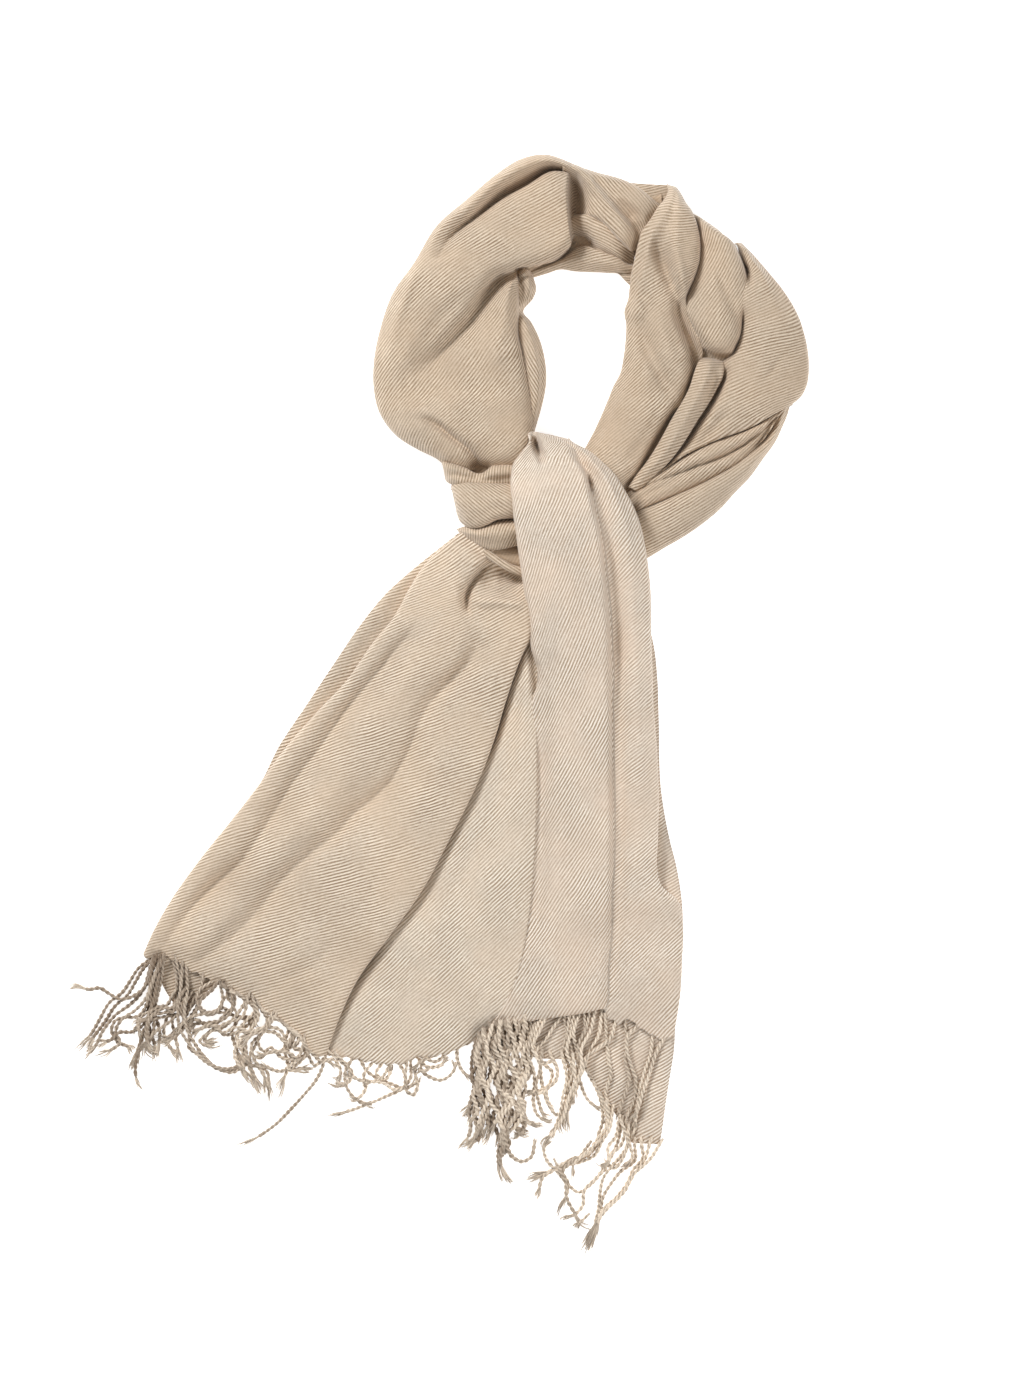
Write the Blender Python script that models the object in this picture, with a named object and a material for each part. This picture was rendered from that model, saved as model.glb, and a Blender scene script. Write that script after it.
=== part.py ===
"""A fringed wrap scarf, doubled and looped through itself, lying flat on a table.

The doubled cloth makes an oval ring for the neck. Its two tails pass through the ring at a
loose knot and fan out below it. X runs to the right, Y from the tails to the ring and Z up.
The origin is on the table, under the knot.

Every stretch of cloth that shows is a thin wall. The layers that it hides are rounded solids
under it, flat where they lie on the table or on each other.
"""

from collections import namedtuple

import bmesh
import bpy
import numpy as np

MM = 0.001

# Driving sizes, in millimetres.
WALL = 2.0  # a stretch of cloth: two or three layers of a fine twill
BACK_LAYER = 2.0  # the flat layers that the tails lie on
LAYER_GAP = 0.4  # between one layer and the next
EDGE_TUCK = 4.0  # how far a rolled edge turns in under itself
SEAM_REACH = 0.5  # how far a flat edge reaches towards the stretch beside it
CORE_DROP = 1.5  # least room from a stretch's inner face down to the hidden layers
EDGE_RISE = 0.35  # a rolled edge stands out furthest at this share of its height
SHOULDER_RISE = 0.8  # and turns over the top at this share
SHOULDER_REACH = 0.3  # this share of the way from the edge to its first fold
CREASE_ANGLE = 0.9  # folds sharper than this, in radians, are shaded as creases
FRINGE_DEPTH = 5.0  # the front fringes lie this thick on their layer
ON_BACK = BACK_LAYER + LAYER_GAP
KNOT_CROWN = 18.0  # the height of the layers inside the knot
KNOT_SLOPE = 8.0  # the height of the right tail's hidden layers where they leave the knot

# A section crosses a stretch from its left edge to its right edge, as (x, y) in millimetres.
# feet: heights of the two edges. folds: (share of the way across, height) of each ridge or
# groove. bow: how far the middle of the section bulges, to the right of its direction.
Section = namedtuple("Section", "left right feet folds bow", defaults=(0.0,))

# A layer section crosses a flat layer, from (x, y) at its left edge to its right edge.
Layer = namedtuple("Layer", "left right")

# A core section crosses hidden layers: (x, y) at both sides, and the height of its crown.
Core = namedtuple("Core", "left right crown")

# A reach section crosses a fringe, from its root on the hem to the tips.
Reach = namedtuple("Reach", "root tip")

# ---------------------------------------------------------------- the ring, left side

# From the top of the ring to the knot: left is the outer edge, right the inner one.
# Folds: outer roll, groove, flap, upper edge of the valley, valley, panel.
NECK_LEFT = (
    Section((6, 265), (8, 206), (0, 24),
            ((0.06, 26), (0.12, 22), (0.4, 34), (0.6, 37), (0.8, 38), (0.94, 35))),
    Section((-20, 270), (-8, 194), (0, 22),
            ((0.09, 33), (0.22, 22), (0.42, 34), (0.6, 37), (0.8, 38), (0.94, 34))),
    Section((-50, 254), (-34, 186), (0, 20),
            ((0.11, 36), (0.25, 24), (0.45, 36), (0.6, 38), (0.8, 38), (0.94, 33))),
    Section((-85, 224), (-31, 172), (0, 22),
            ((0.08, 34), (0.17, 30), (0.4, 39), (0.65, 38), (0.81, 25), (0.93, 32))),
    Section((-115, 184), (-32, 147), (0, 24),
            ((0.08, 31), (0.18, 36), (0.36, 41), (0.54, 36), (0.68, 26), (0.86, 34))),
    Section((-134, 138), (-28, 124), (0, 24),
            ((0.08, 29), (0.18, 36), (0.3, 38), (0.4, 34), (0.5, 28), (0.76, 36))),
    Section((-139, 100), (-24, 102), (0, 24),
            ((0.07, 27), (0.14, 30), (0.25, 30), (0.4, 31), (0.55, 32), (0.8, 35))),
    Section((-133, 77), (-22, 83), (0, 24),
            ((0.08, 28), (0.16, 33), (0.3, 36), (0.45, 36), (0.6, 36), (0.84, 35))),
    Section((-115, 58), (-22, 67), (0, 24),
            ((0.1, 29), (0.2, 32), (0.3, 27), (0.45, 35), (0.65, 36), (0.88, 34))),
    Section((-101, 49), (-30.5, 52), (0, 26),
            ((0.12, 26), (0.25, 30), (0.43, 26), (0.55, 32), (0.7, 35), (0.88, 33))),
    Section((-89, 43.4), (-38, 40.6), (0, 26),
            ((0.14, 22), (0.3, 26), (0.45, 25), (0.6, 24), (0.75, 29), (0.9, 31))),
)

# The strip that shows between the left side and the opening, pinched near its top.
NECK_LEFT_INNER = (
    Section((-30.3, 183), (-21, 181), (18, 0), ((0.4, 15), (0.75, 11))),
    Section((-30.3, 173), (-18.5, 172), (20, 0), ((0.4, 18), (0.75, 14))),
    Section((-30.3, 164), (-22, 164), (19, 0), ((0.4, 15), (0.75, 11))),
    Section((-31, 157.5), (-26.5, 156.5), (16, 0), ((0.4, 12), (0.75, 8))),
    Section((-31.2, 148), (-23, 148), (19, 0), ((0.4, 16), (0.75, 12))),
    Section((-29.7, 135), (-16.5, 135), (21, 0), ((0.4, 20), (0.75, 15))),
    Section((-26.6, 121), (-12.5, 120), (22, 0), ((0.4, 21), (0.75, 16))),
    Section((-23.8, 106), (-11, 104), (22, 0), ((0.4, 21), (0.75, 16))),
    Section((-22, 92), (-13, 91), (21, 0), ((0.4, 19), (0.75, 14))),
    Section((-21, 78), (-16, 77), (19, 0), ((0.4, 15), (0.75, 10))),
)

# ---------------------------------------------------------------- the ring, top

# From the left end to where the right side covers it: left is the outer edge.
# Folds: top roll, its slope, collar ridge, lower slope.
NECK_TOP_COLLAR = (
    Section((6.6, 264.6), (8.2, 228), (0, 18), ((0.12, 27), (0.3, 20), (0.5, 15), (0.8, 17))),
    Section((20, 260.5), (21, 227.5), (0, 24), ((0.15, 31), (0.35, 33), (0.55, 34), (0.82, 30))),
    Section((35, 257), (33, 221), (0, 24), ((0.15, 29), (0.35, 33), (0.57, 37), (0.84, 30))),
    Section((48, 252.5), (44.5, 209), (0, 24), ((0.14, 28), (0.32, 32), (0.52, 37), (0.84, 31))),
    Section((58.5, 247), (52, 202.5), (0, 24), ((0.14, 27), (0.32, 31), (0.52, 34), (0.84, 30))),
    Section((71.9, 236.6), (58.5, 204), (4, 24), ((0.15, 24), (0.32, 28), (0.52, 30), (0.84, 28))),
)

# The lower layer that shows under the collar's edge.
NECK_TOP_UNDER = (
    Section((10, 225.9), (12.5, 208.8), (20.2, 12.5), ((0.35, 21), (0.7, 17))),
    Section((21, 225.9), (22.5, 203.2), (23.3, 14), ((0.35, 25), (0.7, 23))),
    Section((32.5, 218), (34, 198.6), (23.8, 15), ((0.35, 25), (0.7, 22))),
    Section((43.5, 207), (45, 193.7), (23.3, 15), ((0.35, 23), (0.7, 21))),
    Section((50.5, 201), (51.5, 190.9), (22.8, 15), ((0.35, 21), (0.7, 19))),
)

# The lowest band of the top, along the opening.
NECK_TOP_BOTTOM = (
    Section((-19, 188.5), (-15.5, 183.5), (10, 0), ((0.3, 11), (0.7, 8))),
    Section((-7.5, 192.5), (-5.5, 187.5), (12, 0), ((0.3, 13), (0.7, 10))),
    Section((2.5, 195.5), (3, 187.5), (12, 0), ((0.3, 15), (0.7, 13))),
    Section((12, 200.5), (12, 186.5), (12, 0), ((0.3, 17), (0.7, 15))),
    Section((22.5, 202.5), (22.5, 186), (12, 0), ((0.3, 18), (0.7, 16))),
    Section((34, 198), (34, 185.5), (13, 0), ((0.3, 18), (0.7, 16))),
    Section((44, 193.5), (43, 185), (13, 0), ((0.3, 16), (0.7, 13))),
    Section((51.5, 190), (50, 184.5), (12, 0), ((0.3, 13), (0.7, 10))),
)

# The corner of a back layer, outside the ring.
NECK_BACK_CORNER = (
    Layer((52, 252.9), (57.2, 245.4)),
    Layer((66, 252.2), (67.2, 237.4)),
    Layer((82, 250.6), (80, 232)),
)

# ---------------------------------------------------------------- the ring, right side

# The innermost pleat, from its tip at the top to the knot: left is the opening.
# Folds: inner shoulder, soft groove, bright ridge, outer shoulder.
NECK_RIGHT_INNER = (
    Section((83, 247), (90, 243), (16, 18), ((0.3, 24), (0.45, 25), (0.6, 25), (0.8, 23))),
    Section((75.5, 234), (98, 229.5), (22, 25), ((0.2, 33), (0.4, 37), (0.6, 39), (0.85, 35))),
    Section((64, 217), (102.5, 217), (22, 26), ((0.2, 35), (0.4, 36), (0.6, 42), (0.86, 37))),
    Section((59.5, 203), (104.5, 203.5), (22, 26), ((0.18, 36), (0.36, 33), (0.62, 42), (0.88, 37))),
    Section((55, 187), (102.7, 187), (16, 26), ((0.18, 35), (0.48, 33), (0.7, 42), (0.9, 37))),
    Section((52, 170), (96, 171), (0, 27), ((0.2, 33), (0.65, 32), (0.84, 40), (0.94, 36))),
    Section((49, 153), (94.5, 154), (0, 27), ((0.2, 31), (0.55, 35), (0.82, 30), (0.94, 31))),
    Section((50, 139), (100, 140.5), (0, 26), ((0.2, 30), (0.55, 36), (0.85, 28), (0.95, 28))),
    Section((48, 124), (104.5, 125), (0, 25), ((0.2, 30), (0.55, 36), (0.86, 29), (0.95, 28))),
    Section((45.5, 108), (101.5, 108.5), (0, 24), ((0.2, 29), (0.5, 35), (0.8, 34), (0.94, 29))),
    Section((39, 94), (95, 93.5), (0, 23), ((0.2, 28), (0.5, 34), (0.8, 32), (0.94, 26))),
    Section((33, 80), (86.5, 77), (0, 22), ((0.2, 27), (0.5, 32), (0.8, 29), (0.94, 23))),
    Section((28.5, 68.5), (78, 59.5), (0, 22), ((0.2, 26), (0.5, 30), (0.8, 27), (0.94, 23))),
    Section((24, 57), (66, 40.5), (0, 22), ((0.2, 25), (0.5, 28), (0.8, 26), (0.94, 23))),
    Section((25, 51.5), (52.5, 24.5), (0, 22), ((0.2, 24), (0.5, 26), (0.8, 25), (0.94, 23))),
)

# The middle pleat, from the outline at the top to the tip of the finger pleat.
NECK_RIGHT_MIDDLE = (
    Section((101.5, 224), (125, 208.5), (1, 1), ((0.3, 1), (0.5, 1), (0.75, 1))),
    Section((101.5, 226.5), (126.5, 210), (12, 12), ((0.3, 13), (0.5, 13), (0.75, 13))),
    Section((103.5, 222), (129.5, 206), (24, 22), ((0.3, 30), (0.5, 31), (0.75, 29))),
    Section((105, 214), (133.5, 199), (26, 25), ((0.25, 37), (0.5, 39), (0.78, 36))),
    Section((106.2, 203), (138.6, 189), (26, 26), ((0.22, 38), (0.5, 41), (0.8, 37))),
    Section((104.2, 186), (139.3, 175), (26, 26), ((0.22, 38), (0.5, 41), (0.8, 36))),
    Section((97, 170.5), (137.6, 162), (27, 26), ((0.2, 38), (0.5, 41), (0.78, 34))),
    Section((95.8, 158), (135.3, 149), (27, 26), ((0.2, 38), (0.5, 41), (0.8, 36))),
    Section((99.5, 146), (133.5, 138), (27, 26), ((0.2, 37), (0.5, 40), (0.8, 37))),
    Section((105, 133), (129.8, 126.5), (26, 25), ((0.22, 32), (0.5, 34), (0.78, 32))),
    Section((107, 122.5), (122.5, 120.5), (26, 25), ((0.3, 27), (0.5, 27), (0.7, 27))),
)

# The outer pleat, round the outside of the ring and in along the lower bands.
NECK_RIGHT_OUTER = (
    Section((134, 203), (140, 201.5), (12, 4), ((0.3, 14), (0.6, 13), (0.85, 10))),
    Section((139.2, 193), (149, 193), (21, 0), ((0.3, 24), (0.6, 24), (0.85, 18))),
    Section((140.8, 183), (156, 183), (24, 0), ((0.25, 31), (0.55, 32), (0.85, 24))),
    Section((140.6, 171), (166, 171), (25, 0), ((0.2, 34), (0.5, 36), (0.86, 27))),
    Section((138, 156), (175.5, 156), (25, 0), ((0.2, 35), (0.5, 38), (0.88, 28))),
    Section((135.7, 141), (181, 141), (25, 0), ((0.2, 36), (0.5, 38), (0.89, 28))),
    Section((132, 127), (184.2, 126), (25, 0), ((0.2, 35), (0.5, 37), (0.9, 28))),
    Section((125, 112), (185, 110), (25, 0), ((0.2, 34), (0.5, 36), (0.91, 27))),
    Section((121.5, 99), (182.2, 96), (25, 0), ((0.2, 34), (0.5, 34), (0.91, 26))),
    Section((113.2, 86), (172, 86.5), (24, 14), ((0.2, 31), (0.5, 33), (0.91, 27))),
    Section((105, 72.5), (158, 78), (23, 20), ((0.2, 26), (0.5, 31), (0.91, 27))),
    Section((95.5, 57.5), (138, 67.8), (22, 20), ((0.2, 25), (0.5, 29), (0.91, 26))),
    Section((88.5, 48), (116, 60), (22, 20), ((0.2, 25), (0.5, 27), (0.91, 25))),
    Section((79, 37.5), (94.5, 50), (22, 20), ((0.2, 24), (0.5, 25), (0.91, 24))),
)

# The finger pleat, a narrow fold that stands up between the inner and the outer pleat.
NECK_RIGHT_FINGER = (
    Section((108, 119), (120, 117.5), (24, 24), ((0.25, 28), (0.5, 29), (0.75, 28))),
    Section((104, 110.5), (121.5, 106.5), (25, 25), ((0.25, 37), (0.5, 39), (0.75, 37))),
    Section((98, 97), (117.5, 94), (25, 24), ((0.25, 37), (0.5, 40), (0.75, 37))),
    Section((91.5, 83.5), (107.6, 79), (24, 24), ((0.25, 36), (0.5, 38), (0.75, 35))),
    Section((83.7, 67), (99.4, 64), (24, 23), ((0.25, 33), (0.5, 35), (0.75, 32))),
    Section((77.3, 54.5), (90.9, 51.5), (24, 23), ((0.25, 30), (0.5, 31), (0.75, 29))),
    Section((69.5, 41.5), (78.9, 38), (24, 23), ((0.25, 28), (0.5, 28), (0.75, 27))),
    Section((59, 29.5), (62.5, 27), (24, 24), ((0.25, 25), (0.5, 25), (0.75, 25))),
)

# ---------------------------------------------------------------- the ring, lower side

# The upper band, from its outer end to the knot: left is the upper edge.
NECK_LOWER_BAND = (
    Section((167.5, 82.5), (163.5, 79), (16, 14), ((0.3, 18), (0.7, 17))),
    Section((159.5, 76.6), (157, 68), (19, 18), ((0.3, 26), (0.7, 24))),
    Section((149.5, 70.6), (151.5, 60), (20, 18), ((0.3, 28), (0.7, 26))),
    Section((138, 65.2), (141, 50.8), (20, 18), ((0.3, 29), (0.7, 28))),
    Section((122, 59.6), (124, 38), (20, 18), ((0.3, 28), (0.7, 29))),
    Section((108, 53.7), (109.5, 30.2), (20, 18), ((0.3, 27), (0.7, 28))),
    Section((95.8, 47.6), (97, 24.5), (20, 18), ((0.3, 26), (0.7, 27))),
    Section((82.5, 38), (83.5, 18.7), (20, 18), ((0.3, 25), (0.7, 26))),
    Section((69, 29.2), (70, 12.8), (20, 18), ((0.3, 24), (0.7, 25))),
    Section((58.5, 22.5), (60, 9.4), (20, 18), ((0.3, 23), (0.7, 23))),
)

# The lowest band, along the outline.
NECK_LOWER = (
    Section((165.5, 78), (169, 76.5), (14, 4), ((0.3, 14), (0.7, 12))),
    Section((158.3, 66), (164, 65), (17, 0), ((0.3, 19), (0.75, 15))),
    Section((152.8, 58.5), (159.5, 56), (18, 0), ((0.3, 22), (0.75, 18))),
    Section((142, 49.2), (151, 44), (18, 0), ((0.3, 26), (0.8, 21))),
    Section((125, 36.6), (139, 29.5), (18, 0), ((0.3, 28), (0.82, 23))),
    Section((110, 28.6), (124, 12.5), (18, 0), ((0.3, 29), (0.84, 24))),
    Section((97.5, 22.8), (110, 0.5), (18, 0), ((0.3, 29), (0.85, 24))),
    Section((84, 16.8), (95.5, -10.5), (18, 0), ((0.3, 29), (0.86, 24))),
    Section((71, 10.8), (80, -20), (18, 0), ((0.3, 28), (0.87, 23))),
    Section((55, 5), (61, -30), (18, 0), ((0.3, 27), (0.87, 22))),
)

# ---------------------------------------------------------------- the knot

# Bands that wrap the crossing, from their outer ends to the right tail: left is the upper edge.
KNOT_RUFFLE = (
    Section((-87.5, 41), (-85, 31.5), (2, 2), ((0.3, 4), (0.7, 4))),
    Section((-84.5, 42), (-82.5, 28.5), (14, 14), ((0.3, 20), (0.7, 20))),
    Section((-75, 41), (-74, 27.5), (22, 21), ((0.3, 30), (0.7, 29))),
    Section((-61, 40), (-61, 26.8), (22, 22), ((0.3, 31), (0.7, 31))),
    Section((-50, 41.3), (-50, 26.5), (23.5, 23), ((0.3, 34), (0.7, 33))),
    Section((-37.4, 40.2), (-37.6, 26.5), (24, 24), ((0.3, 35), (0.7, 34))),
)
KNOT_WRAP = (
    Section((-80, 22), (-76.5, 4), (2, 2), ((0.3, 4), (0.7, 4))),
    Section((-79, 25.2), (-72.5, -1.5), (14, 12), ((0.3, 22), (0.7, 20))),
    Section((-73, 25.2), (-64, -4.2), (21, 19), ((0.3, 33), (0.7, 31))),
    Section((-60, 25.2), (-54, -1.2), (22, 20), ((0.3, 37), (0.7, 36))),
    Section((-48, 25.2), (-46, 1.6), (23, 20), ((0.3, 40), (0.7, 38))),
    Section((-37.4, 25.2), (-35.8, 3), (24, 20), ((0.3, 41), (0.7, 39))),
)
KNOT_UNDER = (
    Section((-76, -7.5), (-74, -10), (3, 3), ((0.3, 4), (0.7, 4))),
    Section((-71, -6.8), (-68, -14.2), (12, 10), ((0.3, 16), (0.7, 15))),
    Section((-61, -6.3), (-58.5, -19.2), (18, 14), ((0.3, 27), (0.7, 24))),
    Section((-50, -2.7), (-50, -21.5), (19, 15), ((0.3, 33), (0.7, 29))),
    Section((-35.2, 0.6), (-32.6, -19), (20, 16), ((0.3, 35), (0.7, 30))),
)
KNOT_HEM = (
    Section((-56.5, -19.5), (-54, -26.4), (12, 10), ((0.5, 13),)),
    Section((-48.5, -20.3), (-45.5, -33), (13, 12), ((0.4, 16),)),
    Section((-40.5, -19.9), (-37.5, -39.4), (13, 13), ((0.6, 18),)),
    Section((-32.2, -18.5), (-30.2, -41.8), (14, 14), ((0.6, 19),)),
)

# ---------------------------------------------------------------- the left tail

# The wide front fold, from the knot to its hem: left is the free folded edge.
# Folds: edge, first groove, ridge, second groove, ridge, inner edge.
TAIL_LEFT_FRONT = (
    Section((-73, -13.5), (-33, -44), (ON_BACK, 12),
            ((0.15, 15), (0.3, 19), (0.45, 18), (0.65, 16), (0.8, 16), (0.92, 17))),
    Section((-93, -25.5), (-29.5, -53), (ON_BACK, 14),
            ((0.1, 16), (0.25, 21), (0.4, 22), (0.52, 18), (0.72, 17), (0.93, 22))),
    Section((-112, -50), (-26.5, -69), (ON_BACK, 16),
            ((0.08, 16), (0.2, 21), (0.35, 22), (0.5, 18), (0.72, 26), (0.93, 25))),
    Section((-124, -72), (-25.5, -87), (ON_BACK, 16),
            ((0.08, 15), (0.18, 18), (0.35, 21), (0.6, 19), (0.8, 25), (0.94, 24))),
    Section((-140, -92), (-31, -107), (ON_BACK, 15),
            ((0.08, 15), (0.18, 14), (0.4, 20), (0.64, 17), (0.84, 23), (0.95, 22))),
    Section((-161, -122), (-40.5, -136), (ON_BACK, 14),
            ((0.07, 15), (0.16, 12), (0.36, 19), (0.57, 14), (0.8, 22), (0.95, 21))),
    Section((-180, -142), (-49, -163), (ON_BACK, 13),
            ((0.06, 15), (0.14, 12), (0.34, 18), (0.55, 13), (0.8, 21), (0.95, 20))),
    Section((-205, -170), (-62.5, -197), (ON_BACK, 12),
            ((0.06, 14), (0.15, 11), (0.36, 18), (0.58, 12), (0.82, 20), (0.95, 19))),
    Section((-228, -202), (-82.5, -239), (ON_BACK, 11),
            ((0.06, 14), (0.15, 11), (0.32, 17), (0.5, 12), (0.78, 19), (0.95, 18))),
    Section((-250, -230), (-103.5, -278), (ON_BACK, 10),
            ((0.06, 13), (0.15, 11), (0.28, 16), (0.42, 12), (0.75, 18), (0.95, 17))),
    Section((-270, -255), (-127, -311), (ON_BACK, 9),
            ((0.06, 13), (0.14, 10), (0.26, 15), (0.38, 11), (0.72, 16), (0.95, 15))),
    Section((-292, -286), (-153, -345), (ON_BACK, 8),
            ((0.05, 12), (0.11, 10), (0.24, 14), (0.36, 10), (0.7, 14), (0.95, 13))),
    Section((-312, -325), (-175, -401), (ON_BACK, 5),
            ((0.05, 9), (0.1, 8), (0.2, 10), (0.28, 9), (0.65, 10), (0.95, 9)), -7),
)

# The part of the same layer that the front fold half covers.
TAIL_LEFT_FOLD = (
    Section((-28, -103), (-21.6, -102), (12, 14), ((0.5, 16),)),
    Section((-35.5, -122), (-20.6, -120), (10, 14), ((0.5, 19),)),
    Section((-43.5, -147), (-21.7, -145), (7, 12), ((0.6, 20),)),
    Section((-53, -176), (-21.8, -173), (6, 12), ((0.6, 19),)),
    Section((-66, -207), (-21.8, -205), (6, 11), ((0.6, 18),)),
    Section((-84.5, -244), (-23.6, -240), (6, 10), ((0.6, 17),)),
    Section((-105.5, -283), (-27, -278), (6, 9), ((0.6, 15),)),
    Section((-128.5, -315), (-32, -313), (5, 8), ((0.6, 14),)),
    Section((-151, -345), (-40.5, -343), (5, 7), ((0.6, 12),)),
    Section((-163.5, -370), (-50, -367), (5, 6), ((0.6, 10),)),
    Section((-173.5, -403), (-60.5, -386), (4.5, 5), ((0.6, 8),), 13),
)

# The layers under the left tail: they show beside the front fold and below its hem.
TAIL_LEFT_BACK = (
    Layer((-77, -12), (-36, -50)),
    Layer((-100, -30), (-32, -66)),
    Layer((-130, -55.5), (-28, -88)),
    Layer((-150, -80), (-27, -110)),
    Layer((-190, -139.5), (-27, -160)),
    Layer((-225, -198), (-27, -225)),
    Layer((-275, -267), (-33, -295)),
    Layer((-303, -318), (-48, -345)),
    Layer((-300, -346), (-66, -375)),
    Layer((-284, -369), (-110, -393)),
)

# ---------------------------------------------------------------- the right tail

# From its turn over the knot to its hem: left is the edge beside the left tail.
# Folds: left shoulder, left pleat, its edge, groove, right pleat, right shoulder.
TAIL_RIGHT_FRONT = (
    Section((-19, 63), (7, 54), (30, 30),
            ((0.15, 36), (0.4, 38), (0.6, 38), (0.7, 37), (0.8, 37), (0.9, 35))),
    Section((-27.5, 50.5), (24, 46), (30, 30),
            ((0.1, 42), (0.35, 47), (0.64, 47), (0.73, 42), (0.85, 45), (0.94, 42))),
    Section((-35, 37), (36, 36.5), (30, 29),
            ((0.08, 46), (0.32, 53), (0.6, 53), (0.72, 45), (0.84, 49), (0.95, 43))),
    Section((-36.3, 20), (48.5, 20), (30, 29),
            ((0.07, 48), (0.3, 56), (0.6, 56), (0.7, 48), (0.83, 52), (0.95, 44))),
    Section((-34.3, 2), (57, 2), (28, 25.9),
            ((0.07, 48), (0.3, 57), (0.58, 56), (0.68, 48), (0.83, 52), (0.95, 44))),
    Section((-31, -22), (62.5, -22), (24, 25.9),
            ((0.07, 43), (0.3, 53), (0.57, 52), (0.68, 44), (0.83, 49), (0.95, 40))),
    Section((-27.5, -50), (66.5, -50), (14, 10),
            ((0.07, 34), (0.3, 45), (0.56, 44), (0.68, 36), (0.83, 41), (0.95, 33))),
    Section((-22, -83), (67.5, -83), (6, ON_BACK),
            ((0.07, 27), (0.3, 36), (0.55, 36), (0.67, 28), (0.83, 33), (0.95, 26))),
    Section((-20, -118), (69, -118), (ON_BACK, ON_BACK),
            ((0.07, 22), (0.3, 30), (0.55, 30), (0.67, 23), (0.83, 28), (0.95, 21))),
    Section((-21, -150), (70.5, -150), (ON_BACK, ON_BACK),
            ((0.07, 19), (0.3, 26), (0.55, 26), (0.66, 20), (0.83, 24), (0.95, 18))),
    Section((-21, -200), (73.5, -200), (ON_BACK, ON_BACK),
            ((0.07, 16), (0.3, 22), (0.53, 22), (0.64, 17), (0.83, 21), (0.95, 16))),
    Section((-22.5, -250), (73.5, -250), (ON_BACK, ON_BACK),
            ((0.07, 14), (0.3, 20), (0.54, 20), (0.65, 15), (0.83, 18), (0.95, 14))),
    Section((-24.5, -278), (78, -276), (ON_BACK, ON_BACK),
            ((0.07, 13), (0.3, 18), (0.52, 18), (0.62, 14), (0.83, 17), (0.95, 13))),
    Section((-29, -308), (91, -300), (ON_BACK, ON_BACK),
            ((0.07, 12), (0.3, 17), (0.48, 17), (0.56, 13), (0.8, 16), (0.96, 12))),
    Section((-39.5, -348), (89.5, -346), (ON_BACK, ON_BACK),
            ((0.07, 11), (0.3, 15), (0.49, 14), (0.57, 11), (0.8, 14), (0.96, 11))),
    Section((-58.5, -389), (85, -387.5), (ON_BACK, ON_BACK),
            ((0.07, 8), (0.3, 10), (0.5, 10), (0.6, 9), (0.8, 10), (0.96, 8)), -17),
)

# The layer under the right tail: it shows beside the front and below its hem.
TAIL_RIGHT_BACK = (
    Layer((-16, -86), (70.5, -84)),
    Layer((-17, -120), (73, -120)),
    Layer((-18, -200), (76, -203)),
    Layer((-19, -240), (82, -240)),
    Layer((-21, -273), (89, -273)),
    Layer((-26, -306), (92, -306)),
    Layer((-34, -344), (90, -344)),
    Layer((-30, -374), (86.5, -376)),
    Layer((-21, -402), (85, -399)),
    Layer((14, -406), (82, -418)),
    Layer((28, -427), (79, -437)),
    Layer((46, -452), (76.3, -457)),
    Layer((54, -467), (74.5, -468)),
)

# ---------------------------------------------------------------- hidden layers of the ring

RING_LEFT_CORE = (
    Core((1, 254), (3, 214), 19),
    Core((-19, 257), (-10, 204), 19),
    Core((-47, 241), (-37, 197), 21),
    Core((-77, 214), (-42, 180), 22),
    Core((-104, 179), (-42, 151), 23),
    Core((-123, 137), (-39, 126), 25),
    Core((-128, 100), (-35, 102), 26),
    Core((-122, 81), (-33, 85), 26),
    Core((-106, 66), (-34, 73), 24),
    Core((-88, 57), (-44, 60), 21),
)
RING_TOP_CORE = (
    Core((16, 249), (16, 196.4), 11.6),
    Core((25, 248), (25, 196.4), 12.9),
    Core((36, 245), (36, 193), 13.8),
    Core((46, 240), (46, 191), 13.2),
    Core((56, 234), (52, 200), 12),
)
RING_RIGHT_CORE = (
    Core((76, 222), (95, 219), 17),
    Core((70, 207), (126, 197), 20.5),
    Core((66, 187), (142, 183), 22),
    Core((63, 168), (155, 166), 22.5),
    Core((61, 150), (165, 149), 22.5),
    Core((60, 132), (172, 131), 22),
    Core((57, 114), (174, 111), 21.5),
    Core((50, 97), (166, 87), 20),
    Core((43, 82), (150, 62), 17.5),
    Core((38, 70), (138, 42), 16.2),
    Core((38, 60), (118, 20), 16.2),
    Core((44, 49), (100, 4), 16.2),
    Core((54, 33), (85, -7), 16),
    Core((61, 21), (75, -14), 15),
)
KNOT_CORE = (
    Core((-24, 50), (10, 43), 16),
    Core((-66, 32), (36, 27), KNOT_CROWN),
    Core((-66, 18), (44, 14), KNOT_CROWN),
    Core((-60, 4), (50, 1), 17),
    Core((-50, -8), (54, -12), 14),
    Core((-38, -16), (56, -26), 10),
)

# ---------------------------------------------------------------- fringe

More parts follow.
